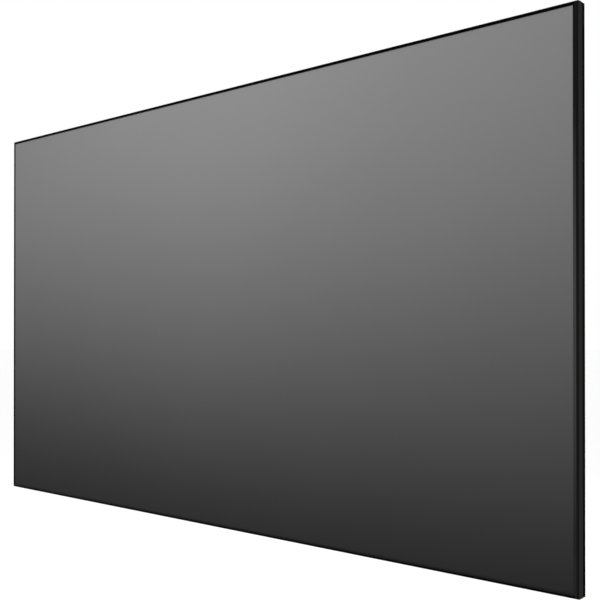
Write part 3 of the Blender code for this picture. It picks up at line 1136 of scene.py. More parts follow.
@dataclass
class SpringRows:
    """The tension rods in the hems, and the extension springs that pull each rod to the rail's rib.

    Args:
        sizes: The shared sizes.
        margin: The first spring, from the frame's corner.
        pitch: The least that springs stand apart.
        rod_end: Where a rod ends, from the frame's corner.
        coil_radius: Outside radius of the coil.
        coil_length: Length of the coil.
        coil_start: Where the coil starts, inward from the rod.
        hook_drop: How far the hook reaches down behind the rib.
        wire: Radius of the wire.
        turn_gap: Gap between the coil's turns.
        turn_steps: Points in each turn of the coil.
        wire_sides: Points round the wire.
        hook_bend: Radius of the hook's bend.
        eye_press: How far the eye is drawn into the rod.
        eye_start: Where the eye starts round the rod, in degrees.
        eye_sweep: How far it goes round, in degrees.
        eye_steps: Steps in the eye.
        eye_lead: How far the wire moves sideways round the eye.
        entry_bow: How far the wire bows between the eye and the coil.
        rod_rounding: Rounding of a rod's ends.
    """

    sizes: FrameSizes
    margin: float = 0.170
    pitch: float = 0.130
    rod_end: float = 0.030
    coil_radius: float = 0.003
    coil_length: float = 0.018
    coil_start: float = 0.009
    hook_drop: float = 0.0045
    wire: float = 0.0006
    turn_gap: float = 0.0001
    turn_steps: int = 14
    wire_sides: int = 6
    hook_bend: float = 0.0014
    eye_press: float = 0.0001
    eye_start: float = 30.0
    eye_sweep: float = 262.0
    eye_steps: int = 21
    eye_lead: float = 0.0008
    entry_bow: float = 0.001
    rod_rounding: float = 0.0006

    def places(self, side: Side) -> list[float]:
        """Where the springs stand along a side.

        Args:
            side: Which side.

        Returns:
            Distances from the side's start.
        """
        run = self.sizes.length(side) - 2 * self.margin
        count = max(2, int(run / self.pitch) + 1)
        return [self.margin + run * i / (count - 1) for i in range(count)]

    def wire_path(self) -> list[Vector]:
        """One spring's wire: an eye round the rod, the coil, then a straight hook over the rib.

        Returns:
            The middle line, in a side's local axes with x at the spring's middle.
        """
        z = self.sizes
        turn_radius = self.coil_radius - self.wire
        eye_radius = z.rod_radius + self.wire - self.eye_press
        start_u = z.rod_u + self.coil_start
        path: list[Vector] = []
        for k in range(self.eye_steps + 1):
            share = k / self.eye_steps
            angle = math.radians(self.eye_start - self.eye_sweep * share)
            u = z.rod_u + eye_radius * math.cos(angle)
            v = z.rod_v + eye_radius * math.sin(angle)
            path.append(Vector((self.eye_lead * (share - 0.5), v, -u)))
        last = path[-1].copy()
        entry = Vector((0, z.spring_v + turn_radius, -start_u))
        for t in (0.25, 0.5, 0.75):
            lean = 3 * t**2 - 2 * t**3
            path.append(last.lerp(entry, t) + Vector((0, (lean - t) * self.entry_bow, 0)))
        turns = int(self.coil_length / (2 * self.wire + self.turn_gap))
        for k in range(turns * self.turn_steps + 1):
            angle = 2 * math.pi * k / self.turn_steps
            u = start_u + self.coil_length * k / (turns * self.turn_steps)
            x = turn_radius * math.sin(angle)
            path.append(Vector((x, z.spring_v + turn_radius * math.cos(angle), -u)))
        return path + self._hook(start_u + self.coil_length, turn_radius)

    def _hook(self, end_u: float, turn_radius: float) -> list[Vector]:
        """The wire from the coil's end to the rib, over it and down behind it.

        Args:
            end_u: Where the coil ends, inward.
            turn_radius: Radius of the coil's middle line.

        Returns:
            Points of the wire's middle line.
        """
        z = self.sizes
        touch = self.wire + 0.00005
        over_v = z.rib_top + touch
        behind_u = z.rib_u + touch
        flat = [(end_u + 0.0012, z.spring_v + turn_radius * 0.4), (end_u + 0.0026, z.spring_v)]
        flat += [(behind_u - 0.0045, over_v + 0.0001), (behind_u - self.hook_bend, over_v)]
        flat += arc((behind_u - self.hook_bend, over_v - self.hook_bend), self.hook_bend, 90, 0, 5)[1:]
        flat.append((behind_u, over_v - self.hook_drop))
        return [Vector((0, v, -u)) for u, v in flat]

    def build(self, steel: bpy.types.Material, spring_steel: bpy.types.Material) -> None:
        """Builds the rods and the rows of springs.

        Args:
            steel: The rods' finish.
            spring_steel: The springs' finish.
        """
        z = self.sizes
        rings = tube_rings(self.wire_path(), self.wire, self.wire_sides)
        spring = mesh_object(lofted(rings), "one_spring", sharp=60)
        tree = RowTree.on_line()
        for side in Side:
            name = side.name.lower()
            spots = self.places(side)
            row = bpy.data.objects.new(f"spring_row_{name}", bpy.data.meshes.new(f"spring_row_{name}"))
            bpy.context.scene.collection.objects.link(row)
            step = Vector((spots[1] - spots[0], 0, 0))
            values = {"Piece": spring, "Count": len(spots), "Start": Vector((spots[0], 0, 0)), "Step": step,
                      "Finish": spring_steel}
            RowTree.run(row, tree, values)
            row.data.transform(z.side_matrix(side))
            rod = self._rod(side, f"rod_{name}")
            put_on(rod, steel, "spring", f"tension_rod_{name}")
            put_on(row, spring_steel, "spring", f"tension_rod_{name}")
        bpy.data.objects.remove(spring)

    def _rod(self, side: Side, name: str) -> bpy.types.Object:
        """One tension rod, its ends a little rounded.

        Args:
            side: Which side.
            name: The rod's name.

        Returns:
            The rod.
        """
        z = self.sizes
        end = self.rod_rounding
        stations = ((self.rod_end, z.rod_radius - end), (self.rod_end + end, z.rod_radius),
                    (z.length(side) - self.rod_end - end, z.rod_radius),
                    (z.length(side) - self.rod_end, z.rod_radius - end))
        rings = [[Vector((x, v, -u)) for u, v in circle((z.rod_u, z.rod_v), radius, 28)] for x, radius in stations]
        return mesh_object(lofted(rings), name, z.side_matrix(side))


@dataclass
class ScreenCloth:
    """One sheet: the flat picture face, and on each side a flap that ends in a notched hem round the rod.

    Args:
        sizes: The shared sizes.
        springs: The spring rows, whose eyes need the notches.
        wrap: How far the hem goes round the rod, in degrees.
        hem_steps: Steps in the hem.
        notch: Width of a notch.
        tab_gap: Gap between the welded tab and the flap.
        tab_from_rear: Where the tab ends, from the trim's rear.
    """

    sizes: FrameSizes
    springs: SpringRows
    wrap: float = 215
    hem_steps: int = 18
    notch: float = 0.0055
    tab_gap: float = 0.00015
    tab_from_rear: float = 0.003

    def paths(self) -> tuple[list[Flat], list[Flat], int]:
        """The cloth's two faces in section: face, flap, the loop round the rod, then a tab welded to the flap.

        Returns:
            The coated face, the back, and the number of points before the hem.
        """
        z = self.sizes
        over = z.bulkhead_in + z.gap
        outside = z.shell_line(z.cloth_out, z.bezel, over + z.cloth)
        inside = z.shell_line(z.cloth_in, z.bezel, over)
        hem = len(outside)
        tab_u = over + z.cloth + self.tab_gap
        outside += self._loop(z.hem_in_radius, tab_u)
        inside += self._loop(z.hem_out_radius, tab_u + z.cloth)
        return outside, inside, hem

    def _loop(self, radius: float, tab_u: float) -> list[Flat]:
        """One face of the hem: round the rod, straight back to the flap, and along it as a tab.

        Args:
            radius: The hem's radius on this face.
            tab_u: Where the tab lies, inward.

        Returns:
            Points from the flap to the tab's end.
        """
        z = self.sizes
        line = arc((z.rod_u, z.rod_v), radius, 180, 180 + self.wrap, self.hem_steps)
        last = math.radians(180 + self.wrap)
        run = (line[-1][0] - tab_u) / math.sin(last)
        line.append((tab_u, line[-1][1] + run * math.cos(last)))
        line.append((tab_u, z.trim_depth - self.tab_from_rear))
        return line

    def stations(self, side: Side) -> list[Callable[[float], float]]:
        """Where the flap's cross-sections stand along a side: its mitred ends and each notch's two edges.

        Args:
            side: Which side.

        Returns:
            For each cross-section, its place along the side as a function of u.
        """
        z = self.sizes
        length = z.length(side)
        made: list[Callable[[float], float]] = [lambda u: u + z.gap]
        for place in self.springs.places(side):
            for edge in (place - self.notch / 2, place + self.notch / 2):
                made.append(lambda u, x=edge: x)
        made.append(lambda u: length - u - z.gap)
        return made

    def flat_size(self) -> Flat:
        """The size that the sheet was cut to, flaps, hems and tabs included.

        Returns:
            Its width and height.
        """
        outside = self.paths()[0]
        run = sum(math.dist(a, b) for a, b in zip(outside, outside[1:]))
        z = self.sizes
        return (z.width - 2 * z.bezel + 2 * run, z.height - 2 * z.bezel + 2 * run)

    def build(self, coat: bpy.types.Material, backing: bpy.types.Material) -> None:
        """Builds the sheet.

        Args:
            coat: The finish of the picture face.
            backing: The finish of the back and the hems.
        """
        z = self.sizes
        bm = bmesh.new()
        outside, inside, hem = self.paths()
        rims: dict[int, list] = {0: [], 1: []}
        corners = {}
        for face, path in enumerate((outside, inside)):
            for side in Side:
                point = Vector((path[0][0], path[0][1], -path[0][0]))
                corners[face, side] = bm.verts.new(z.side_matrix(side) @ point)
        for side in Side:
            matrix = z.side_matrix(side)
            after = Side((side.value + 1) % 4)
            rows: dict[int, list[list]] = {0: [], 1: []}
            stations = self.stations(side)
            for face, path in enumerate((outside, inside)):
                for number, station in enumerate(stations):
                    if number == 0:
                        first = corners[face, side]
                    elif number == len(stations) - 1:
                        first = corners[face, after]
                    else:
                        first = bm.verts.new(matrix @ Vector((station(0), path[0][1], -path[0][0])))
                    row = [first]
                    for u, v in path[1:]:
                        row.append(bm.verts.new(matrix @ Vector((station(u), v, -u))))
                    rows[face].append(row)
                rims[face].extend(row[0] for row in rows[face][:-1])
            self._flap(bm, rows, hem)
        for face in (0, 1):
            bm.faces.new(rims[face]).material_index = face
        obj = mesh_object(bm, "stretched_cloth", sharp=50)
        obj.data.materials.append(coat)
        obj.data.materials.append(backing)
        put_on(obj, coat, "cloth", "screen_cloth")
        self.flat_size()

    @staticmethod
    def _flap(bm: bmesh.types.BMesh, rows: dict[int, list[list]], hem: int) -> None:
        """Faces of one side's flap, with the hem left out between each pair of notch edges.

        Args:
            bm: The cloth's bmesh.
            rows: For each face of the cloth, its vertices at each cross-section.
            hem: Number of points before the hem.
        """
        last = len(rows[0][0]) - 1
        for number in range(len(rows[0]) - 1):
            notched = number % 2 == 1
            stop = hem if notched else last
            for face in (0, 1):
                near, far = rows[face][number], rows[face][number + 1]
                for i in range(stop):
                    made = bm.faces.new((near[i], near[i + 1], far[i + 1], far[i]))
                    made.material_index = 1 if face or i >= hem else 0
            pair = [rows[face][number + k][stop] for face, k in ((0, 0), (0, 1), (1, 1), (1, 0))]
            bm.faces.new(pair).material_index = 1
        for number in range(len(rows[0])):
            end = number in (0, len(rows[0]) - 1)
            out_row, in_row = rows[0][number], rows[1][number]
            for i in range(0 if end else hem, last):
                bm.faces.new((out_row[i], out_row[i + 1], in_row[i + 1], in_row[i])).material_index = 1


@dataclass
class FrameLengths:
    """The trim and the rails: six lengths of each, mitred at the corners and butted in the middle.

    Args:
        sizes: The shared sizes.
        edge: Rounding of the trim's edges.
        rail_edge: Rounding of the rails' edges.
    """

    sizes: FrameSizes
    edge: float = 0.00025
    rail_edge: float = 0.00035

    def spans(self) -> Iterator[tuple[str, Side, Flat, bool, bool]]:
        """The lengths of the frame, clockwise from the top.

        Yields:
            Name, side, span, and whether its start and its end are mitred.
        """
        for side in Side:
            length = self.sizes.length(side)
            name = side.name.lower()
            if side in (Side.TOP, Side.BOTTOM):
                first, second = ("left", "right") if side is Side.TOP else ("right", "left")
                yield f"{name}_{first}", side, (0, length / 2), True, False
                yield f"{name}_{second}", side, (length / 2, length), False, True
            else:
                yield name, side, (0, length), True, True

    def trim_section(self) -> list[list[Flat]]:
        """The thin extrusion that clips round the edge.

        Returns:
            Its outline.
        """
        z = self.sizes
        inner = z.shell_line(z.trim_wall, z.bezel, z.rear_lip)
        return [filleted(z.skin_line() + inner[::-1], self.edge)]

    def rail_section(self) -> list[list[Flat]]:
        """The hollow rail: a raised outer part, then a shelf with a rear slot, a hook rib and an inner groove.

        Returns:
            Its outline, then its three hollow cells.
        """
        z = self.sizes
        slot_low, slot_high = z.slot_u - z.slot_width / 2, z.slot_u + z.slot_width / 2
        mouth_low, mouth_high = z.slot_u - z.slot_mouth / 2, z.slot_u + z.slot_mouth / 2
        lip_v = z.shelf_back - z.rail_wall
        groove_u = z.rail_in - z.groove_depth
        front_wall = z.shelf_front + z.rail_wall
        outline = z.shell_line(z.rail_out, z.bulkhead_in, z.bulkhead_in) + [
            (z.bulkhead_in, z.shelf_back),
            (mouth_low, z.shelf_back),
            (mouth_low, lip_v),
            (slot_low, lip_v),
            (slot_low, z.slot_floor),
            (slot_high, z.slot_floor),
            (slot_high, lip_v),
            (mouth_high, lip_v),
            (mouth_high, z.shelf_back),
            (z.rib_u - z.rail_wall, z.shelf_back),
            (z.rib_u - z.rail_wall, z.rib_top),
            (z.rib_u, z.rib_top),
            (z.rib_u, z.shelf_back),
            (z.rail_in, z.shelf_back),
            (z.rail_in, lip_v),
            (groove_u, lip_v),
            (groove_u, front_wall),
            (z.rail_in, front_wall),
            (z.rail_in, z.shelf_front),
            (z.bulkhead_in, z.shelf_front),
        ]
        core = z.rail_out + z.rail_wall
        void = z.shell_line(core, z.bulkhead_in - z.rail_wall, z.bulkhead_in - z.rail_wall)
        outer_cell = box_loop((z.bulkhead_in, front_wall), (slot_low - z.rail_wall, lip_v))
        slot_cell = box_loop((slot_low, front_wall), (groove_u - z.rail_wall, z.slot_floor - z.rail_wall))
        return [filleted(loop, self.rail_edge) for loop in (outline, void, outer_cell, slot_cell)]

    def build(self, trims: dict[Side, bpy.types.Material], strips: dict[Side, bpy.types.Material],
              reveal: bpy.types.Material, rails: dict[Grain, bpy.types.Material]) -> None:
        """Builds the twelve lengths.

        Args:
            trims: The trim's finish on each side.
            strips: The finish of the trim's front strip on each side.
            reveal: The finish of the trim's rear reveal.
            rails: The rails' finish for each way of the grain.
        """
        trim_section, rail_section = self.trim_section(), self.rail_section()
        for name, side, span, start_mitred, end_mitred in self.spans():
            grain = Grain.ALONG_X if side in (Side.TOP, Side.BOTTOM) else Grain.ALONG_Z
            point_at = mitred(span, start_mitred, end_mitred, self.sizes.gap)
            matrix = self.sizes.side_matrix(side)
            trim = mesh_object(swept(trim_section, point_at), f"trim_{name}_strip", matrix)
            for look in (trims[side], reveal, strips[side]):
                trim.data.materials.append(look)
            self._zones(trim, matrix)
            put_on(trim, trims[side], "trim", f"trim_{name}")
            rail = mesh_object(swept(rail_section, point_at), f"rail_{name}_bar", matrix)
            put_on(rail, rails[grain], "rail", f"rail_{name}")

    def _zones(self, trim: bpy.types.Object, matrix: Matrix) -> None:
        """Gives the side's rear reveal the second finish and the front strip the third.

        Args:
            trim: A length of trim.
            matrix: From its side's local axes to the frame's.
        """
        z = self.sizes
        to_local = matrix.inverted()
        for face in trim.data.polygons:
            place = to_local @ face.center
            in_reveal = place.y > z.reveal_v and -place.z < z.reveal_in + z.rear_edge
            face.material_index = 1 if in_reveal else 2 if place.y < self.edge else 0


@dataclass
class Joiners:
    """The plates in the rails' rear slots and the set screws that lock them.

    Args:
        sizes: The shared sizes.
        plate_thickness: Thickness of a plate.
        plate_corner: Rounding of its outline.
        plate_edge: Rounding of its edges.
        leg: Length of a corner plate's leg.
        splice: Length of a splice plate.
        screw_radius: Radius of the set screws.
        hole_clearance: Room round a screw in its hole.
        screw_edge: A screw's middle, from a plate's end, bend or middle.
        recess: How far a screw lies under the shelf's rear face.
        socket_radius: The hexagon socket, from its middle to a corner.
        socket_depth: Depth of the socket.
        socket_tip: Radius and depth of the drill's tip under it.
        thread_pitch: Pitch of the thread.
        thread_depth: Depth of the thread.
        screw_chamfer: Chamfer of a screw's ends.
        screw_sides: Points round a screw.
        corners: Names of the frame's corners, where each side starts.
        points: Places of the screws, which the plates fill in.
    """

    sizes: FrameSizes
    plate_thickness: float = 0.003
    plate_corner: float = 0.0015
    plate_edge: float = 0.00025
    leg: float = 0.120
    splice: float = 0.300
    screw_radius: float = 0.003
    hole_clearance: float = 0.0003
    screw_edge: float = 0.018
    recess: float = 0.0008
    socket_radius: float = 0.0016
    socket_depth: float = 0.0025
    socket_tip: Flat = (0.0003, 0.0004)
    thread_pitch: float = 0.001
    thread_depth: float = 0.0004
    screw_chamfer: float = 0.0005
    screw_sides: int = 24
    corners: tuple[str, ...] = ("top_left", "top_right", "bottom_right", "bottom_left")
    points: list[Vector] = field(default_factory=list)

    @property
    def plate_width(self) -> float:
        """Width of a plate."""
        return self.sizes.slot_width - 2 * self.sizes.gap

    def corner_screws(self) -> list[Flat]:
        """Two screws on each leg of a corner plate.

        Returns:
            Their places, as (x, u).
        """
        u = self.sizes.slot_u
        near = u + self.plate_width / 2 + self.screw_edge
        far = u - self.plate_width / 2 + self.leg - self.screw_edge
        return [(near, u), (far, u), (u, near), (u, far)]

    def splice_screws(self) -> list[Flat]:
        """Four screws along a splice plate.

        Returns:
            Their places, as (x, u).
        """
        half = self.splice / 2 - self.screw_edge
        middle = self.sizes.width / 2
        return [(middle + x, self.sizes.slot_u) for x in (-half, -self.screw_edge, self.screw_edge, half)]

    def _plate(self, outline: list[Flat], screws: list[Flat], name: str, side: Side,
               look: bpy.types.Material, node: str) -> None:
        """One plate with its tapped holes, and its screws' places.

        Args:
            outline: The plate's outline, as (x, u).
            screws: Its screws' places, as (x, u).
            name: The piece's name.
            side: The side whose local axes it is drawn in.
            look: Its finish.
            node: The CAD node that it replaces.
        """
        z = self.sizes
        back = z.shelf_back - z.rail_wall - z.gap
        loops = [filleted(outline, self.plate_corner, 5)]
        loops += [circle(place, self.screw_radius + self.hole_clearance) for place in screws]

        def point_at(x: float, u: float, which: int) -> Vector:
            """Local point on the plate's rear or front face."""
            return Vector((x, back - (self.plate_thickness if which else 0), -u))

        plate = mesh_object(swept(loops, point_at), name, z.side_matrix(side))
        put_on(softened(plate, self.plate_edge), look, "plate", node)
        self.points += [z.side_matrix(side) @ Vector((x, 0, -u)) for x, u in screws]

    def screw(self) -> bpy.types.Object:
        """One set screw with its thread and its hexagon socket, along Y, its place in y as in a side's local axes.

        Returns:
            The screw.
        """
        z = self.sizes
        head, foot = z.shelf_back - self.recess, z.slot_floor + z.gap
        around, rows = self.screw_sides, int((head - foot) / self.thread_pitch * 4)
        rings = []
        for k in range(rows + 1):
            y = foot + (head - foot) * k / rows
            ring = []
            for i in range(around):
                turn = i / around
                phase = (y / self.thread_pitch - turn) % 1.0
                groove = self.thread_depth * (1 - abs(2 * phase - 1))
                nearest = min(y - foot, head - y)
                radius = min(self.screw_radius - groove, self.screw_radius - self.screw_chamfer + nearest)
                ring.append(self._at(radius, turn, y))
            rings.append(ring)
        flat = math.cos(math.pi / 6)
        for radius, y in ((self.socket_radius, head), (self.socket_radius, head - self.socket_depth)):
            ring = []
            for i in range(around):
                within = (2 * math.pi * i / around) % (math.pi / 3) - math.pi / 6
                ring.append(self._at(radius * flat / math.cos(within), i / around, y))
            rings.append(ring)
        tip_radius, tip_drop = self.socket_tip
        rings.append([self._at(tip_radius, i / around, head - self.socket_depth - tip_drop) for i in range(around)])
        return mesh_object(lofted(rings), "one_screw", sharp=40)

    def _at(self, radius: float, turn: float, y: float) -> Vector:
        """A point round the screw's axis, from its middle in x and z."""
        angle = 2 * math.pi * turn
        return Vector((radius * math.cos(angle), y - self.sizes.depth / 2, radius * math.sin(angle)))

    def build(self, zinc: bpy.types.Material, oxide: bpy.types.Material) -> None:
        """Builds the plates and the screws.

        Args:
            zinc: The plates' finish.
            oxide: The screws' finish.
        """
        z = self.sizes
        low, high = z.slot_u - self.plate_width / 2, z.slot_u + self.plate_width / 2
        tip = low + self.leg
        bend = [(low, low), (tip, low), (tip, high), (high, high), (high, tip), (low, tip)]
        nodes = []
        for side, corner in zip(Side, self.corners):
            node = f"corner_plate_{corner}"
            self._plate(bend, self.corner_screws(), f"{node}_zinc", side, zinc, node)
            nodes += [f"corner_screw_{corner}_{number}" for number in range(1, 5)]
        middle = z.width / 2
        strip = box_loop((middle - self.splice / 2, low), (middle + self.splice / 2, high))
        for side in (Side.TOP, Side.BOTTOM):
            node = f"splice_plate_{side.name.lower()}"
            self._plate(strip, self.splice_screws(), f"{node}_zinc", side, zinc, node)
            nodes += [f"splice_screw_{side.name.lower()}_{number}" for number in range(1, 5)]
        spots = bpy.data.meshes.new("set_screws")
        spots.from_pydata([(p.x, 0, p.z) for p in self.points], [], [])
        screws = bpy.data.objects.new("set_screws", spots)
        bpy.context.scene.collection.objects.link(screws)
        pattern = self.screw()
        RowTree.run(screws, RowTree.on_points(), {"Piece": pattern, "Finish": oxide})
        bpy.data.objects.remove(pattern)
        put_on(screws, oxide, "screw", *nodes)


@dataclass
class Supports:
    """The upright bars behind the cloth with their plugs, and the brackets that hold the frame to the wall.

    Args:
        sizes: The shared sizes.
        thickness: Thickness of a bracket.
        bracket_length: Its length along the side.
        bracket_plate: How far its wall plate reaches.
        bracket_inset: Its middle, from the frame's corner.
        bite: How far its lip reaches into the rail's groove.
        hole_radius: Radius of a screw hole.
        hole_spacing: From hole to hole.
        bend: Outside radius of its bends.
        bend_facet: The facet inside the bend at the wall.
        lip_facet: The facet inside the lip's bend.
        bar_edge: Rounding of the bars' edges.
        plug_edge: Rounding of the plugs' edges.
        strip_edge: Rounding of the brackets' edges.
    """

    sizes: FrameSizes
    thickness: float = 0.002
    bracket_length: float = 0.060
    bracket_plate: float = 0.046
    bracket_inset: float = 0.560
    bite: float = 0.006
    hole_radius: float = 0.0025
    hole_spacing: float = 0.036
    bend: float = 0.0022
    bend_facet: float = 0.0004
    lip_facet: float = 0.0002
    bar_edge: float = 0.0009
    plug_edge: float = 0.0006
    strip_edge: float = 0.0002

    def bars(self, black: bpy.types.Material, plastic: bpy.types.Material) -> None:
        """Dresses the bars and their plugs.

        Args:
            black: The bars' finish.
            plastic: The plugs' finish.
        """
        for name in ("left", "right"):
            bar = softened(merged_copy(f"support_bar_{name}", f"upright_{name}"), self.bar_edge, 3)
            put_on(bar, black, "bar", f"support_bar_{name}")
            for end in ("top", "bottom"):
                node = f"support_plug_{name}_{end}"
                plug = softened(merged_copy(node, f"{node}_moulding"), self.plug_edge, 3)
                put_on(plug, plastic, "plug", node)

    def bracket_section(self) -> list[Flat]:
        """A bent strip: a plate on the wall, a tongue under the rail, and a lip that stands in the rail's groove.

        Returns:
            Its outline.
        """
        z = self.sizes
        near, lip_back = z.rail_in + z.gap, z.shelf_back - z.rail_wall - z.gap
        t = self.thickness
        outer = near + t
        r, back, lip = self.bend, z.depth, lip_back - t
        line = [(z.rail_in - self.bite, lip_back), (z.rail_in - self.bite, lip)]
        line += arc((outer - r, lip + r), r, -90, 0, 6)
        line += [(outer, back - t - self.bend_facet), (outer + self.bend_facet, back - t)]
        line += [(near + self.bracket_plate, back - t), (near + self.bracket_plate, back)]
        line += arc((near + r, back - r), r, 90, 180, 6)
        line += [(near, lip_back + self.lip_facet), (near - self.lip_facet, lip_back)]
        return line

    def bracket(self, side: Side, middle: float, name: str, look: bpy.types.Material) -> None:
        """One wall bracket with its two screw holes.

        Args:
            side: The side whose rail it holds.
            middle: Its middle along the side.
            name: The CAD node that it replaces.
            look: Its finish.
        """
        z = self.sizes

        def point_at(u: float, v: float, which: int) -> Vector:
            """Local point at one end of the strip."""
            return Vector((middle + self.bracket_length * (0.5 if which else -0.5), v, -u))

        matrix = z.side_matrix(side)
        piece = mesh_object(swept([self.bracket_section()], point_at), f"{name}_strip", matrix)
        hole_u = z.rail_in + z.gap + self.thickness + (self.bracket_plate - self.thickness) / 2
        cutters = []
        for x in (middle - self.hole_spacing / 2, middle + self.hole_spacing / 2):
            rings = []
            for v in (z.depth - 2 * self.thickness, z.depth + self.thickness):
                rings.append([Vector((a, v, -b)) for a, b in circle((x, hole_u), self.hole_radius)])
            cutter = mesh_object(lofted(rings), "hole_cutter", matrix)
            cut = piece.modifiers.new("screw_hole", "BOOLEAN")
            cut.operation = "DIFFERENCE"
            cut.object = cutter
            cutters.append(cutter)
        applied(piece)
        for cutter in cutters:
            bpy.data.objects.remove(cutter)
        put_on(softened(piece, self.strip_edge), look, "bracket", name)

    def brackets(self, look: bpy.types.Material) -> None:
        """Builds the four wall brackets.

        Args:
            look: Their finish.
        """
        near, far = self.bracket_inset, self.sizes.width - self.bracket_inset
        self.bracket(Side.TOP, near, "wall_bracket_top_left", look)
        self.bracket(Side.TOP, far, "wall_bracket_top_right", look)
        self.bracket(Side.BOTTOM, near, "wall_bracket_bottom_right", look)
        self.bracket(Side.BOTTOM, far, "wall_bracket_bottom_left", look)


@dataclass(frozen=True)
class SoftBox:
    """One soft box of the studio.

    Args:
        name: Its name.
        place: Where it stands.
        aim: The point that it is turned to.
        size: Width and height of its face.
        power: Its power, in watts.
    """

    name: str
    place: Point
    aim: Point
    size: Flat
    power: float

    def build(self) -> None:
        """Adds the lamp to the scene."""
        light = bpy.data.lights.new(self.name, "AREA")
        light.shape = "RECTANGLE"
        light.size, light.size_y = self.size
        light.energy = self.power
        obj = bpy.data.objects.new(self.name, light)
        obj.location = self.place
        obj.rotation_euler = (Vector(self.aim) - Vector(self.place)).to_track_quat("-Z", "Y").to_euler()
        bpy.context.scene.collection.objects.link(obj)


@dataclass
class Studio:
    """The floor, the light and the camera.

    Args:
        sizes: The shared sizes.
        drop: From the screen's foot to the floor.
        floor_half: Half the floor's width.
        focal_px: Focal length, in pixels of the picture.
        image_px: Width of the picture, in pixels.
        sensor: Width of the sensor, in millimetres.
        rise_px: How far the camera's axis lies off the picture's middle, in pixels.
        camera_place: Where the camera stands.
        camera_turn: How far it is turned left, in degrees.
        camera_tilt: How far it looks up, in degrees.
        camera_reach: How far it sees.
        ambient: Strength of the even light on the object.
        boxes: The soft boxes.
    """

    sizes: FrameSizes
    drop: float = 0.55
    floor_half: float = 60.0
    focal_px: float = 969.65
    image_px: float = 600.0
    sensor: float = 36.0
    rise_px: float = 28.67
    camera_place: Point = (2.0781, -1.9084, -0.0728)
    camera_turn: float = 42.928
    camera_tilt: float = 0.309
    camera_reach: float = 300.0
    ambient: float = 0.74
    boxes: tuple[SoftBox, ...] = (
        SoftBox("key_box", (0.5, -3.4, 3.2), (0, 0, 0), (3.0, 2.2), 36),
        SoftBox("strip_box", (-0.75, -3.8, 0.0), (1.1, 0, 0), (0.35, 0.5), 11),
        SoftBox("rear_box", (-0.5, 3.6, 2.2), (0, 0, 0), (3.0, 2.0), 40),
    )

    def floor(self) -> None:
        """A wide pale floor, well under the hung screen."""
        level = -self.sizes.height / 2 - self.drop
        half = self.floor_half
        bm = bmesh.new()
        bm.faces.new([bm.verts.new((x, y, level)) for x, y in box_loop((-half, -half), (half, half))])
        floor = mesh_object(bm, "floor")
        floor.data.materials.append(PaleFloor().build())

    def world(self) -> None:
        """Even light from all round, white to the camera and in reflections."""
        world = bpy.data.worlds.new("studio")
        bpy.context.scene.world = world
        world.use_nodes = True
        tree = world.node_tree
        back = tree.nodes["Background"]
        path = tree.nodes.new("ShaderNodeLightPath")
        either = tree.nodes.new("ShaderNodeMath")
        either.operation = "MAXIMUM"
        tree.links.new(path.outputs["Is Glossy Ray"], either.inputs[0])
        tree.links.new(path.outputs["Is Transmission Ray"], either.inputs[1])
        seen = tree.nodes.new("ShaderNodeMath")
        seen.operation = "MAXIMUM"
        tree.links.new(path.outputs["Is Camera Ray"], seen.inputs[0])
        tree.links.new(either.outputs[0], seen.inputs[1])
        strength = tree.nodes.new("ShaderNodeMapRange")
        tree.links.new(seen.outputs[0], strength.inputs["Value"])
        strength.inputs["To Min"].default_value = self.ambient
        strength.inputs["To Max"].default_value = 1.0
        back.inputs["Color"].default_value = (1, 1, 1, 1)
        tree.links.new(strength.outputs[0], back.inputs["Strength"])

    def camera(self) -> None:
        """The photograph's viewpoint: near the right edge and tilted up a very little, with a vertical shift."""
        data = bpy.data.cameras.new("camera")
        data.sensor_width = self.sensor
        data.lens = self.focal_px / self.image_px * self.sensor
        data.shift_y = self.rise_px / self.image_px
        data.clip_end = self.camera_reach
        obj = bpy.data.objects.new("camera", data)
        obj.location = self.camera_place
        obj.rotation_euler = (math.radians(90 + self.camera_tilt), 0, math.radians(self.camera_turn))
        bpy.context.scene.collection.objects.link(obj)
        bpy.context.scene.camera = obj

    def build(self) -> None:
        """Builds the floor, the world, the soft boxes and the camera."""
        self.floor()
        self.world()
        for box in self.boxes:
            box.build()
        self.camera()
        bpy.context.scene.view_settings.view_transform = "Standard"


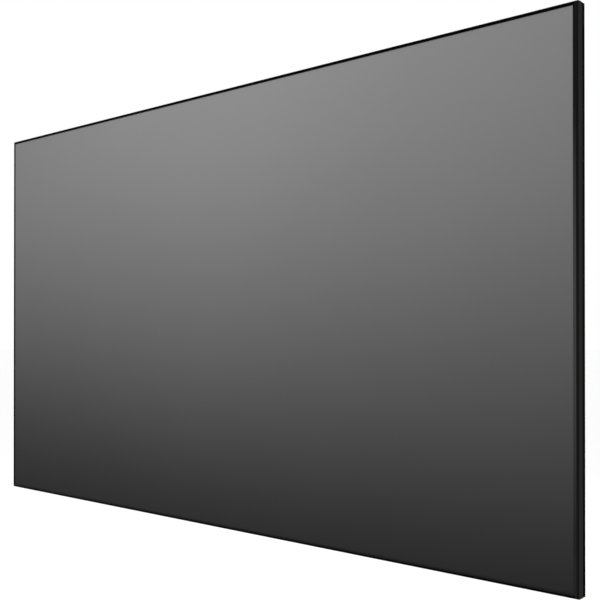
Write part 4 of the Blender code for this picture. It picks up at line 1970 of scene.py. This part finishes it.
def trim_finishes(sizes: FrameSizes) -> tuple[dict[Side, bpy.types.Material], dict[Side, bpy.types.Material]]:
    """Builds the finishes of the trim and of its front strips.

    Args:
        sizes: The shared sizes.

    Returns:
        The trim's finish on each side, then its front strip's.
    """
    # The trim and its front strips are one finish, painted lit or shaded per side. The top and left strips are near
    # black as painted shade. The right strip is paler, with a painted highlight at mid height and painted shade at its
    # head. The bottom strip is paler as painted light, with a painted shadow along its outer edge. The bottom trim is
    # near black as painted shade. The uprights' trim is a touch darker than the top's.
    long_trim = AnodisedBlack("anodised_long_trim", Grain.ALONG_X).build()
    upright_trim = AnodisedBlack("anodised_upright_trim", Grain.ALONG_Z, colour=(0.0066, 0.0066, 0.0068),
                                 specular=0.021).build()
    painted_shade_bottom_trim = AnodisedBlack("matt_long_trim", Grain.ALONG_X, colour=(0.0010, 0.0010, 0.0010),
                              rubbed=(0.002, 0.002, 0.002), specular=0.01).build()
    flat_strip = AnodisedBlack.black_strip("flat_strip", Grain.ALONG_X).build()
    dark_strip = AnodisedBlack.black_strip("dark_strip", Grain.ALONG_Z).build()
    buffed_strip = AnodisedBlack("buffed_strip", Grain.ALONG_Z, colour=(0.015, 0.015, 0.0153), painted_highlight=0.046).build()
    pale_strip = AnodisedBlack("pale_strip", Grain.ALONG_X, colour=(0.0145, 0.0145, 0.0149),
                               rubbed=(0.017, 0.017, 0.017), roughness=0.4, specular=0.01,
                               shaded_below=0.0062 - sizes.height / 2).build()
    trims = {Side.TOP: long_trim, Side.RIGHT: upright_trim, Side.BOTTOM: painted_shade_bottom_trim, Side.LEFT: upright_trim}
    strips = {Side.TOP: flat_strip, Side.RIGHT: buffed_strip, Side.BOTTOM: pale_strip, Side.LEFT: dark_strip}
    return trims, strips


def main() -> None:
    """Builds every sub-assembly in order."""
    logging.basicConfig(level=logging.INFO, format="%(name)s %(message)s", stream=sys.stdout)
    sizes = FrameSizes.from_frame()
    Studio(sizes).build()
    trims, strips = trim_finishes(sizes)
    # The reveal's near-black colour is painted shade in its shallow recess; its high roughness is a matt surface.
    reveal = AnodisedBlack("matt_reveal", Grain.ALONG_X, colour=(0.0012, 0.0012, 0.0012),
                           rubbed=(0.003, 0.003, 0.003), roughness=0.8, specular=0.01).build()
    rails = {grain: MillAluminium(f"mill_rail_{grain.name.lower()}", grain).build() for grain in Grain}
    FrameLengths(sizes).build(trims, strips, reveal, rails)
    springs = SpringRows(sizes)
    rod_steel = Steel("rod_steel", (0.45, 0.45, 0.46), 0.28).build()
    spring_steel = Steel("spring_steel", (0.38, 0.38, 0.39), 0.24).build()
    springs.build(rod_steel, spring_steel)
    coat = ScreenCoat(sizes.height / 2 - sizes.bezel).build()
    ScreenCloth(sizes, springs).build(coat, WovenBacking().build())
    oxide = Steel("black_oxide", (0.035, 0.034, 0.033), 0.42).build()
    Joiners(sizes).build(ZincPlate().build(), oxide)
    supports = Supports(sizes)
    black_bar = AnodisedBlack("anodised_bar", Grain.ALONG_Z, colour=(0.012, 0.012, 0.013),
                              rubbed=(0.04, 0.04, 0.042), roughness=0.5, specular=0.3).build()
    supports.bars(black_bar, MouldedPlastic().build())
    supports.brackets(PowderCoat().build())


if __name__ == "__main__":
    main()
